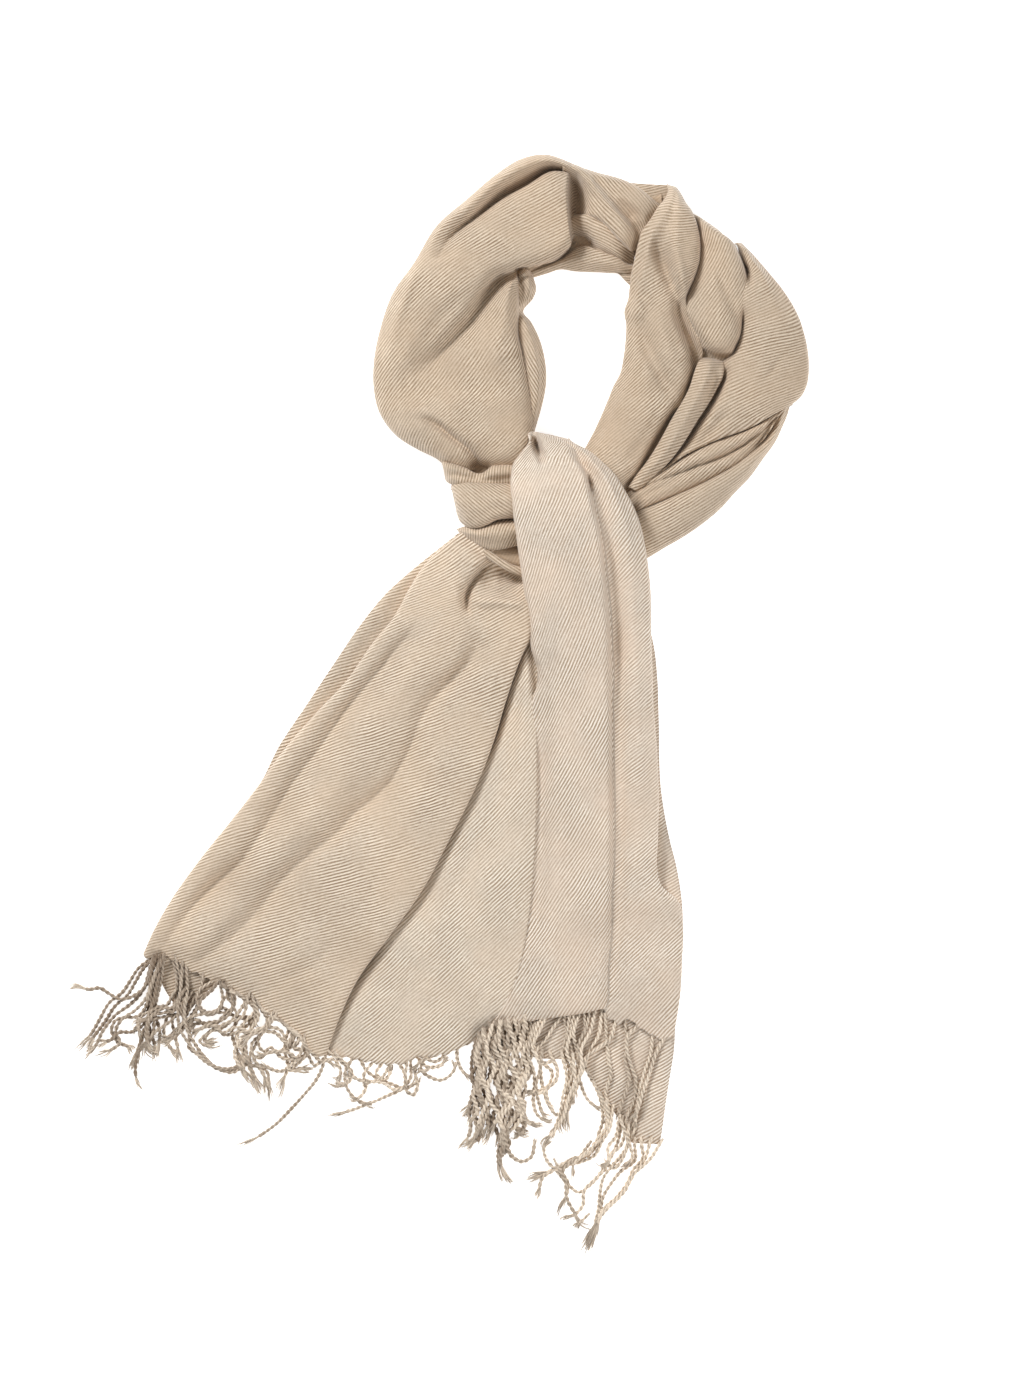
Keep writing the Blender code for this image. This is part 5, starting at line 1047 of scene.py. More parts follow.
TAIL_RIGHT_FRONT_STROKES = [
    stroke(6, 3.5, (0.2, 0.9, 1, 1, 0.9, 0.6, 0.2), -15, -128, -14.5, -150, -14, -180, -14, -240, -15, -275,
           -18, -300, -26, -330),
    stroke(6, 2.5, (0.3, 0.4), -29, 46, -22, 48, -10, 47, 4, 44),
    stroke(3, 2.5, (0.3, 0.6), -33, -60, -26, -62, -24, -90, -22, -104),
    stroke(2.6, 18.0, (0.3, 0.5), -19.5, 62, -18, 56, -16, 50, -13.5, 43, power=2.2),
    stroke(4, -1.6, (0.3, 0.5), -24, 60, -26, 52, -29, 44, -31, 35),
    stroke(5, -1.4, (0.2, 0.4), -10, 31, -4, 26, 2, 22),
    stroke(1.9, 6.5, (0.3, 0.8, 1, 1, 1, 1, 1, 1, 1, 1, 1, 1, 1, 1, 0.9, 0.8, 0.6, 0.4), 8, 49.5, 12, 43.5,
           16.5, 38, 20, 31.5, 22, 25.5, 23, 18, 25.5, 7.5, 28.5, -4.5, 31, -18, 32.3, -30, 33.5, -45,
           34.7, -57, 36.2, -69, 37.3, -87, 38, -110, 38.5, -150, 39.2, -238, 39, -300, power=1.5),
    stroke(4.2, 2.6, (0.2, 0.8, 1, 1, 1, 1, 1, 0.8, 0.3), 14, 47, 20, 38, 26, 26, 29.5, 8, 35, -18, 38, -45,
           41, -75, 43, -110, 44, -150),
    stroke(3.4, -2.4, (0.3, 1, 1, 1, 1, 0.9, 0.5), 8, 43, 13, 37, 18, 28, 21, 12, 27, -18, 31, -57,
           34, -100),
    stroke(1.6, 8, (0.6, 0.4), 20.5, 31, 21.8, 26, 22.3, 21),
    stroke(5.0, 3.2, (0.2, 0.8, 1, 1, 1, 1, 1, 1), 41.5, -60, 43, -90, 43.5, -130, 44, -200, 44.5, -250,
           43, -290, 40, -330, 35, -362),
    stroke(3.5, 1.8, (0.4, 0.3), 24, 40, 29, 31, 33, 23, 35, 14),
    stroke(3, -1.0, (0.3, 0.5), 35, 34, 41, 24, 46, 12),
    stroke(5, 1.2, (0.2, 0.6), 40, 12, 45, -8, 49, -30, 52, -60),
    stroke(9, -0.9, (0.1, 0.8, 1, 0.6), -8, 0, -4, -30, -2, -80, -1, -130),
    stroke(7, 1.1, (0.2, 0.6), 14, -20, 18, -60, 20, -110, 21, -160),
    stroke(5, 1.0, (0.2, 0.5), -14, -20, -11, -50, -9, -85),
    stroke(8, 1.3, (0.2, 1, 1, 0.8, 0.5), 4, -180, 6, -220, 5, -270, 2, -320, 0, -350),
    stroke(6, -0.9, (0.2, 1, 0.8, 0.5), -10, -250, -13, -290, -18, -330, -24, -360),
    stroke(6, -0.8, (0.2, 0.7), 20, -250, 21, -290, 18, -340),
    stroke(6, -0.8, (0.2, 0.5), 58, -90, 60, -150, 61, -210, 62, -250),
    stroke(6, 1.1, (0.2, 0.8), 62, -300, 66, -340, 66, -375),
    stroke(2.8, 4.0, (0.2, 0.3), -24, -104, -17.5, -110, -16.5, -120, -19, -129),
    stroke(3, 3.0, (0.3, 0.3), 66, -256, 71, -266, 78, -274, 84, -281),
]
TAIL_RIGHT_BACK = folded((0.3, 0.7, 0.85, 0.96), [
    ((-16, -80), (66, -76), (0, 0), 2, 2, 2, 2),
    ((-16, -100), (70.6, -98), (0, 0), 2, 2, 2, 2),
    ((-17, -120), (72.8, -120), (0, 0), 2, 2, 2, 2.1),
    ((-17.5, -150), (73.8, -150), (0, 0), 2, 2, 2, 2.2),
    ((-18, -200), (75.5, -203), (0, 0), 2, 2, 2, 2.4),
    ((-19, -240), (82, -240), (0, 0), 2, 2, 2, 2.4),
    ((-21, -260), (87, -260), (0, 0), 2, 2, 2, 2.4),
    ((-24, -285), (91, -285), (0, 0), 2, 2, 2, 2.4),
    ((-28, -312), (92, -312), (0, 0), 2, 2, 2, 2.2),
    ((-34, -344), (90, -344), (0, 0), 2, 2, 2, 2),
    ((-30, -374), (86.5, -376), (0, 0), 2, 2, 2.4, 2.4),
    ((-21, -402), (85, -399), (0, 0), 2.4, 2, 2.6, 3.2),
    ((14, -406), (82, -418), (0, 0), 2.6, 2.2, 4, 3.6),
]) + folded((0.3, 0.62, 0.75, 0.95), [
    ((28, -427), (79, -437), (0, 0), 2.4, 2.4, 4.2, 3.6),
]) + folded((0.25, 0.42, 0.6, 0.93), [
    ((46, -452), (76.3, -457), (0, 0), 2.2, 2.6, 4, 3.2),
]) + folded((0.15, 0.3, 0.5, 0.9), [
    ((54, -467), (74.5, -468), (0.5, 0), 2.4, 3, 3.4, 2.6),
])
TAIL_RIGHT_BACK_STROKES = [
    stroke(1.8, 2.2, (0.3, 1), 74, -393, 71, -401, 65, -414, 61, -428, 58, -441, 55, -455, 53, -467,
           power=1.6),
    stroke(5, -1.6, (0.5, 0.6), 36, -404, 44, -418, 52, -436),
]

# ---------------------------------------------------------------- hidden layers: left, right, height

CORES = {
    "ring_left": [
        (15, 250, 16, 196, 5), (1, 256, 5, 194, 5), (-19, 257, -6, 192, 9), (-47, 241, -26, 183, 12),
        (-77, 214, -33, 172, 15), (-104, 179, -42, 151, 17), (-123, 137, -39, 126, 18),
        (-126, 100, -37, 102, 18), (-120, 81, -35, 85, 18), (-106, 66, -36, 73, 16), (-86, 57, -46, 60, 12),
    ],
    "ring_top": [
        (13, 249, 13, 196, 5), (25, 248, 25, 198, 9), (36, 245, 36, 196, 9), (46, 240, 46, 194, 9),
        (54, 235, 53, 198, 8), (59, 234, 59, 197, 5), (66, 241, 66, 206, 6), (76, 244.5, 76, 214, 6),
    ],
    "ring_right": [
        (82, 244, 88, 242.5, 6), (78, 236, 93, 233, 11), (76, 222, 95, 219, 14), (70, 207, 126, 197, 17),
        (66, 187, 142, 183, 19), (63, 168, 155, 166, 19), (61, 150, 165, 149, 19), (60, 132, 172, 131, 18),
        (57, 114, 174, 111, 17), (50, 97, 166, 87, 15), (43, 82, 150, 62, 13), (40, 70, 138, 42, 12),
        (40, 60, 118, 20, 12), (46, 49, 100, 4, 12), (56, 33, 85, -7, 12), (63, 21, 73, -12, 11),
    ],
    "knot": [
        (-22, 50, 10, 43, 14), (-82, 41, 22, 39, 11), (-79, 31, 34, 27, 14), (-75, 18, 42, 14, 15),
        (-70, 5, 48, 2, 14), (-48, -8, 52, -12, 12), (-36, -16, 54, -26, 9),
    ],
    "tail_left": [
        (-80, -36, -48, -56, 5), (-92, -46, -36, -66, 8), (-112, -72, -34, -90, 8),
        (-146, -120, -48, -138, 6), (-186, -172, -68, -196, 5), (-228, -228, -104, -262, 5),
        (-262, -276, -144, -318, 4), (-288, -316, -170, -368, 3),
    ],
    "tail_right": [
        (-14, -34, 56, -34, 14), (-12, -60, 58, -60, 12), (-8, -100, 60, -100, 9), (-10, -150, 62, -150, 7),
        (-10, -200, 64, -200, 6.5), (-12, -250, 66, -250, 6), (-14, -300, 78, -296, 5),
        (-24, -350, 78, -346, 4),
    ],
}

# ---------------------------------------------------------------- materials


class Nodes:
    """Short names for building one material's node tree."""

    def __init__(self, name):
        self.material = bpy.data.materials.new(name)
        self.material.use_nodes = True
        self.tree = self.material.node_tree
        self.shader = self.tree.nodes["Principled BSDF"]

    def fill(self, node, inputs):
        """Gives each input its value, or a link where that is another node's output."""
        for key, value in inputs.items():
            if isinstance(value, bpy.types.NodeSocket):
                self.tree.links.new(value, node.inputs[key])
            else:
                node.inputs[key].default_value = value
        return node

    def add(self, kind, inputs, **settings):
        node = self.tree.nodes.new(kind)
        for key, value in settings.items():
            setattr(node, key, value)
        return self.fill(node, inputs)

    def math(self, operation, a, b=0.0):
        return self.add("ShaderNodeMath", {0: a, 1: b}, operation=operation).outputs[0]

    def times(self, a, b):
        return self.math("MULTIPLY", a, b)

    def total(self, first, *others):
        for other in others:
            first = self.math("ADD", first, other)
        return first

    def minus_half(self, value):
        return self.math("SUBTRACT", value, 0.5)

    def wave(self, place, pitch):
        """A wave from 0 to 1 with its crests one pitch apart."""
        return self.total(self.times(self.math("SINE", self.times(place, 2 * math.pi / pitch)), 0.5), 0.5)

    def map_of(self, name):
        return self.add("ShaderNodeUVMap", {}, uv_map=name).outputs[0]

    def moved(self, vector, **inputs):
        return self.add("ShaderNodeMapping", {"Vector": vector, **inputs}).outputs[0]

    def split(self, vector):
        return self.add("ShaderNodeSeparateXYZ", {"Vector": vector}).outputs

    def noise(self, vector, scale, detail, roughness=0.5):
        inputs = {"Vector": vector, "Scale": scale, "Detail": detail, "Roughness": roughness}
        return self.add("ShaderNodeTexNoise", inputs).outputs["Fac"]

    def span(self, value, low, high, to_low, to_high):
        inputs = {"Value": value, "From Min": low, "From Max": high, "To Min": to_low, "To Max": to_high}
        return self.add("ShaderNodeMapRange", inputs, clamp=True).outputs[0]

    def blend(self, share, first, second, **settings):
        inputs = {"Factor": share, 6: first, 7: second}
        return self.add("ShaderNodeMix", inputs, data_type="RGBA", **settings).outputs[2]

    def bump(self, height, distance, strength):
        inputs = {"Height": height, "Distance": distance, "Strength": strength}
        return self.add("ShaderNodeBump", inputs).outputs[0]


def twill_cloth(name, groove, ridge, flat, contrast, seed):
    """Fine twill: diagonal lines, stronger in some patches than in others, over a soft thread grain. The
    lines' dark grooves are painted shade and their light ridges painted highlight; the patches where they
    show strongly are painted sheen, and broad patches are painted a little lighter or darker.
    """
    n = Nodes(name)
    mm = n.moved(n.map_of("twill"), Location=(seed, 2 * seed, 0), Scale=(1 / MM,) * 3)
    stretched = n.moved(mm, Scale=(1, 0.35, 1))

    drift = n.times(n.minus_half(n.noise(mm, 0.030, 1)), 3.0)
    wobble = n.times(n.minus_half(n.noise(stretched, 0.22, 2)), 0.9)
    place = n.total(n.split(mm)[0], n.total(drift, wobble))
    line, fine = n.wave(place, TWILL_PITCH), n.wave(place, TWILL_PITCH / 2)
    # where the lines show strongly: painted sheen in patches
    painted_sheen_patch = n.span(n.noise(mm, 0.030, 2), 0.36, 0.62, 0.40, 1.0)
    broken = n.span(n.noise(stretched, 0.8, 2), 0.32, 0.60, 0.35, 1.15)
    twill = n.times(n.minus_half(line), n.times(painted_sheen_patch, broken))
    grain = n.minus_half(n.noise(stretched, 2.6, 2, 0.65))

    # the groove colour is painted shade in the twill's grooves, the ridge colour painted highlight on its
    # ridges
    lines = n.blend(n.total(0.5, n.times(twill, contrast), n.times(grain, 0.8)), (*groove, 1), (*ridge, 1))
    soft = n.span(n.noise(mm, 0.022, 3), 0.38, 0.66, 0.0, 0.45)
    # broad patches painted a little darker or lighter: painted light and shade
    painted_light_patch = n.span(n.noise(mm, 0.02, 3), 0.35, 0.65, 0.92, 1.05)
    shade = n.add("ShaderNodeCombineColor", {"Red": painted_light_patch, "Green": painted_light_patch, "Blue": painted_light_patch}).outputs[0]
    relief = n.total(n.times(twill, 0.20), n.times(grain, 0.16), n.times(fine, 0.03),
                     n.times(n.noise(mm, 0.16, 3), 0.9))
    n.fill(n.shader, {
        "Base Color": n.blend(1.0, n.blend(soft, lines, (*flat, 1)), shade, blend_type="MULTIPLY"),
        "Roughness": n.span(line, 0, 1, 0.88, 0.78),
        "Normal": n.bump(relief, 0.001, 0.75),
        "Specular IOR Level": 0.18,
        "Sheen Weight": 0.35,
        "Sheen Roughness": 0.5,
        "Sheen Tint": (1.0, 0.97, 0.94, 1),
    })
    return n.material


def yarn(name, dark, light):
    """Twisted yarn: the plies are modelled, so this adds their fibres and the colour of each strand, with
    painted shade in the grooves between the plies and on strands laid lower.
    """
    n = Nodes(name)
    mm = n.moved(n.map_of("twill"), Scale=(1 / MM,) * 3)
    height, strand = n.split(n.map_of("shade"))[:2]
    fibres = n.noise(mm, 1.6, 3, 0.7)
    slow = n.noise(mm, 0.05, 2)
    mottled = n.total(n.span(fibres, 0.3, 0.7, 0.05, 0.42), n.span(slow, 0.35, 0.65, 0.0, 0.30))
    # height darkens the grooves between the plies: painted shade; strand holds each strand's tone, with
    # painted shade on tassels laid earlier
    tone = n.total(mottled, n.times(height, 0.72))
    n.fill(n.shader, {
        "Base Color": n.blend(n.times(tone, strand), (*dark, 1), (*light, 1)),
        "Roughness": n.span(fibres, 0.3, 0.7, 0.9, 0.8),
        "Normal": n.bump(fibres, 0.0004, 0.8),
        "Specular IOR Level": 0.15,
        "Sheen Weight": 0.3,
        "Sheen Roughness": 0.5,
    })
    return n.material


# Each twill: colour of its grooves, of its ridges and where its lines hardly show, contrast and seed. The
# grooves' colour is painted shade and the ridges' painted highlight. The twills are lit and shaded copies of
# one cloth: the neck's darker, the tails' lighter, the right tail's lightest, the fold's lifted where it
# faces away from the light, and the inner one dull, for layers that lie in shade.
neck_shaded_twill, left_lit_twill, fold_lit_twill, right_lit_twill, inner_shaded_twill = (
    twill_cloth(name, *look)
    for name, *look in (
        ("neck_shaded_twill", (0.26, 0.17, 0.095), (0.87, 0.74, 0.595), (0.53, 0.395, 0.275), 1.15, 3),
        ("left_lit_twill", (0.32, 0.22, 0.135), (0.96, 0.84, 0.70), (0.64, 0.495, 0.36), 1.6, 17),
        ("fold_lit_twill", (0.38, 0.275, 0.18), (1.0, 0.91, 0.79), (0.72, 0.575, 0.44), 1.6, 23),
        ("right_lit_twill", (0.40, 0.288, 0.195), (1.0, 0.91, 0.80), (0.75, 0.59, 0.458), 1.7, 41),
        ("inner_shaded_twill", (0.42, 0.30, 0.20), (0.62, 0.49, 0.36), (0.54, 0.41, 0.29), 0.9, 29),
    )
)
fringe_yarn = yarn("fringe_yarn", (0.15, 0.09, 0.05), (1.0, 0.86, 0.70))

# ---------------------------------------------------------------- the cloth, stretch by stretch

# Each stretch: name, sections, strokes, layers that show at its left and right edge, twill headings,
# seed and depth of its creases.
RING_AND_KNOT = [
    ("neck_left", NECK_LEFT, NECK_LEFT_STROKES, (3, 0), [28, 28, 33, 46, 50, 50], 11, 0.8),
    ("neck_left_inner", NECK_LEFT_INNER, NECK_LEFT_INNER_STROKES, (0, 2), [-45, -60, -52], 12, 0.4),
    ("neck_top_collar", NECK_TOP_COLLAR, NECK_TOP_COLLAR_STROKES, (3, 0), [-45, -50, -50], 13, 0.6),
    ("neck_top_under", NECK_TOP_UNDER, NECK_TOP_UNDER_STROKES, (0, 1), [-20, -30], 14, 0.5),
    ("neck_top_bottom", NECK_TOP_BOTTOM, NECK_TOP_BOTTOM_STROKES, (0, 2), [25, 10], 15, 0.4),
    ("neck_back_corner", NECK_BACK_CORNER, [], (0, 0), [15, 15], 16, 0.2),
    ("neck_right_inner", NECK_RIGHT_INNER, NECK_RIGHT_INNER_STROKES, (2, 0), [3, 6, 28, 43, 42, 40, 36, 36],
     21, 0.8),
    ("neck_right_middle", NECK_RIGHT_MIDDLE, NECK_RIGHT_MIDDLE_STROKES, (0, 0), [75, 55, 60], 22, 0.8),
    ("neck_right_outer", NECK_RIGHT_OUTER, NECK_RIGHT_OUTER_STROKES, (0, 3), [45, 30, 12, 20, 35, 25, 20],
     23, 0.8),
    ("neck_right_finger", NECK_RIGHT_FINGER, NECK_RIGHT_FINGER_STROKES, (1, 1), [0, 12, 20], 24, 0.4),
    ("neck_lower_band", NECK_LOWER_BAND, NECK_LOWER_BAND_STROKES, (0, 1), [48, 45, 40], 31, 0.4),
    ("neck_lower", NECK_LOWER, NECK_LOWER_STROKES, (0, 3), [42, 34, 24], 32, 0.5),
    ("knot_ruffle", KNOT_RUFFLE, KNOT_RUFFLE_STROKES, (1, 1), [78, 88], 41, 0.4),
    ("knot_wrap", KNOT_WRAP, KNOT_WRAP_STROKES, (1, 1), [-42, -35], 42, 0.5),
    ("knot_under", KNOT_UNDER, KNOT_UNDER_STROKES, (1, 1), [98, 62], 43, 0.4),
    ("knot_hem", KNOT_HEM, [], (0, 0), [-38, -30], 44, 0.15),
]
for name, rows, strokes, rolls, headings, seed, amount in RING_AND_KNOT:
    cloth(name, rows, rolls, headings, neck_shaded_twill, "folded", seed, amount, strokes=strokes)
# The inside of the knot in the dull inner twill: painted shade for its shadowed inside.
cloth("knot_inside", KNOT_INSIDE, (0, 0), [60, 60], inner_shaded_twill, "folded", 45, 0.2,
      lining=True)

cloth("tail_left_back", TAIL_LEFT_BACK, (0, 0), [16, 16], left_lit_twill, "laid", 51, 0.15,
      hem=TAIL_LEFT_BACK_HEM, step=BACK_STEPS[0])
cloth("tail_right_back", TAIL_RIGHT_BACK, (0, 0), [30, 30], right_lit_twill, "laid", 61, 0.3,
      strokes=TAIL_RIGHT_BACK_STROKES, step=BACK_STEPS[1])
# The left tail's hem running on under the bunch, in the dull inner twill: painted shade for the dark between
# the ropes.
cloth("tail_left_end", TAIL_LEFT_END, (0, 0), [40, 40], inner_shaded_twill, "laid", 54, 0.15,
      lining=True)


def core(name, rows):
    """Hidden layers as one closed, rounded solid with a groove between the layers at its edges."""
    across = [(row[:2], row[2:4], (0, 0), 0.96 * row[4], row[4], 0.96 * row[4]) for row in rows]
    net = control_net(folded((0.2, 0.5, 0.8), across), (2, 2))
    grid = finer(finer(net, 0, CORE_STEPS[0]), 1, CORE_STEPS[1])
    grid[..., 2] = np.maximum(grid[..., 2], 0.3)
    points, faces = slab(grid)
    uv = np.concatenate([twill_map(grid, [40, 40]).reshape(-1, 2)] * 2)
    # in the dull inner twill: painted shade for the inside layers where they show in gaps
    piece = mesh_object(name, points, faces, uv, inner_shaded_twill)
    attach(piece, "root")
    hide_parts(name)


for place, rows in CORES.items():
    core("hidden_" + place, rows)

# ---------------------------------------------------------------- fringe

RING_STEP = 0.95  # between the rings of a rope's mesh
ROPE_SIDES = 7
STRAND_SIDES = 3
PLY_PITCH = 8.4  # one full turn of the two plies
YARN_RADIUS = 1.45
BUNCH_RADIUS = 1.75  # of the gathered tassels, which are looser
UNDER_HEM = 6.0  # how far each rope starts inside the hem
STACK = 9.0  # the highest that ropes pile up
SETTLED = 9.0  # length of rope that is laid before the next length can lie on it
TWIN_DRIFT = 4.2  # how far a twin wanders from its tassel
TWIN_ROOT = 1.2  # how far its root is to the side of its tassel's
TURN = 6.28  # about one turn, in radians


def height_under(points, reach, field):
    """The field's highest value in the cells within reach of each point."""
    cells = np.round((points - GROUND_CORNER) / CELL).astype(int)
    cells = np.clip(cells, reach, np.array(field.shape) - 1 - reach)
    best = np.zeros(len(points))
    for dx in range(-reach, reach + 1):
        for dy in range(-reach, reach + 1):
            best = np.maximum(best, field[cells[:, 0] + dx, cells[:, 1] + dy])
    return best


def evenly(route):
    """Points RING_STEP apart on a smooth curve through the route."""
    knots = run_along(route)
    fine = curve(route, knots, np.linspace(0, knots[-1], 60 * len(route)))
    run = run_along(fine)
    at = np.arange(0, run[-1], RING_STEP)
    return np.stack([np.interp(at, run, fine[:, k]) for k in range(2)], axis=1)


def resting(points, radius):
    """Heights for a rope's middle as it lies on all that is below, its own earlier part included."""
    low = np.empty(len(points))
    chunk = int(SETTLED / RING_STEP)
    for start in range(0, len(points), chunk):
        part = slice(start, start + chunk)
        low[part] = stacked(points[part], 1)
        if start:
            before = slice(start - chunk, start)
            note_heights(np.column_stack([points[before], low[before] + radius]), 0.7 * radius)
    return np.maximum(smoothed(low, 5), 0.75 * low) + radius


def stacked(points, reach):
    """Height to lie at: on the cloth below, and on the ropes below but never over about STACK of them."""
    cloth_top = height_under(points, reach, under_fringe)
    pile = height_under(points, reach, ground) - cloth_top
    return cloth_top + STACK * np.tanh(pile / STACK)


def circle(sides, turned=0.0):
    corners = np.arange(sides) * 2 * math.pi / sides + turned
    return corners, np.stack([np.cos(corners), np.sin(corners)], axis=1)


def tube(path, offsets, uv_start):
    """Points, faces and uv of a tube along a 3-D path. offsets: each ring's corners, from the path."""
    rings, sides = offsets.shape[:2]
    forward = unit(np.gradient(path, axis=0))
    side = unit(np.cross(forward, [0, 0, 1.0]))
    up = np.cross(side, forward)
    points = path[:, None] + offsets[..., :1] * side[:, None] + offsets[..., 1:] * up[:, None]
    i, j = np.meshgrid(np.arange(rings - 1), np.arange(sides), indexing="ij")
    a, b = (i * sides + j).ravel(), (i * sides + (j + 1) % sides).ravel()
    faces = np.stack([a, b, b + sides, a + sides], axis=1)
    around = np.abs(np.arange(sides) - sides / 2) * 2.0 / sides * 4
    along = run_along(path)[:, None] + 3 * uv_start
    uv = np.stack(np.broadcast_arrays(around[None] + uv_start, along), axis=2)
    return points.reshape(-1, 3), faces, uv.reshape(-1, 2)


class Bundle:
    """Many tassels in one mesh."""

    def __init__(self, seed):
        self.random = np.random.RandomState(seed)
        self.points, self.faces, self.uv, self.shade, self.count = [], [], [], [], 0
        self.tassels = 0
        self.order = 0.0  # 0 for the first tassel laid to 1 for the last, which lies on top; those laid earlier get painted shade

    def take(self, points, faces, uv, height, tone):
        """Adds one strand. height: 0 in the groove between the plies to 1 on them, which the yarn turns into
        painted shade in the grooves; tone: the strand's own, plus painted shade on tassels laid earlier and
        lying lower.
        """
        self.points.append(points)
        self.faces.append(faces + self.count)
        self.uv.append(uv)
        shade = np.broadcast_arrays(np.ravel(height), tone * np.ones(len(points)))
        self.shade.append(np.stack(shade, axis=1))
        self.count += len(points)

    def tassel(self, route, tuft, spread, radius):
        """A two-ply twist from the hem that ends in a loose tuft."""
        draw = self.random.uniform
        self.tassels += 1
        route = np.concatenate([[route[0] + UNDER_HEM * unit(route[0] - route[1])], route])
        flat = evenly(route)
        twist = max(len(flat) - int(tuft / RING_STEP), 12)
        rope = flat[:twist]
        height = resting(rope, radius)
        run = np.arange(twist) * RING_STEP
        phase = 2 * math.pi * run / PLY_PITCH * draw(0.92, 1.08) + draw(0, TURN)
        thick = radius * (1 + 0.10 * np.sin(run / draw(5, 9) + draw(0, TURN)))
        root = np.clip(run / UNDER_HEM, 0, 1)
        knot = np.exp(-(((run - run[-1] + 1.6) / 1.5) ** 2))
        thick *= (0.85 + 0.15 * root) * (1 + 0.18 * knot)
        corners, ring = circle(ROPE_SIDES)
        lobes = np.cos(2 * (corners[None] - phase[:, None])) * (1 - 0.7 * knot[:, None]) * root[:, None]
        lobes = 0.82 + 0.30 * lobes
        offsets = thick[:, None, None] * lobes[..., None] * ring[None]
        # tassels laid earlier lie lower and get painted shade in their tone; the rest of the tone differs at
        # random
        tone = 0.42 + 0.62 * self.order + draw(-0.34, 0.14)
        strand = tube(np.column_stack([rope, height]), offsets, 11.0 * self.tassels)
        # (lobes - 0.52) / 0.6 is 0 in the grooves between the plies, which the yarn darkens as painted shade
        self.take(*strand, (lobes - 0.52) / 0.6, tone)
        self.fray(flat[twist - 2 :], height[-1], spread)

    def fray(self, axis, start_height, spread):
        """The loose tuft along an axis: curled strands in four locks, with their lengths uneven."""
        draw = self.random.uniform
        if len(axis) < 4:
            return
        axis = axis[::2]
        share = np.linspace(0, 1, len(axis))
        forward = unit(np.gradient(axis, axis=0))
        side = np.stack([forward[:, 1], -forward[:, 0]], axis=1)
        under = smoothed(stacked(axis, 0), 2)
        locks = [(draw(-0.5, 0.5), draw(-2.0, 2.0), draw(0.6, 1.0)) for _ in range(4)]
        opening = 0.8 * spread * np.minimum(1, 2.6 * share) ** 0.9
        for strand in range(8 + 2 * int(spread)):
            middle, bend, length = locks[strand % 4]
            fan = middle * opening + draw(-0.5, 0.5) * (0.8 + 2.8 * share)
            curl = bend * np.sin(3.2 * share) * share + draw(0.1, 0.6) * np.sin(share * draw(2, 7)) * share
            stop = max(int(len(axis) * length * draw(0.5, 1.0)), 4)
            level = under + 0.4 + draw(0, 1.8) * (1 - 0.6 * share)
            height = start_height * (1 - share) ** 2 + level * (1 - (1 - share) ** 2)
            path = np.column_stack([axis + side * (fan + curl)[:, None], height])[:stop]
            width = draw(0.38, 0.58) * (1 - 0.6 * np.linspace(0, 1, stop) ** 3)
            ring = circle(STRAND_SIDES, draw(0, 2))[1]
            offsets = width[:, None, None] * ring[None]
            self.take(*tube(path, offsets, 7.0 * strand + self.tassels), 0.6, draw(0.45, 1.3))

    def build(self, name):
        points, faces, uv, shade = map(np.concatenate, (self.points, self.faces, self.uv, self.shade))
        piece = mesh_object(name, points, faces, uv, fringe_yarn, shade=shade)
        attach(piece, "root")
        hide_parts(name)
        return piece
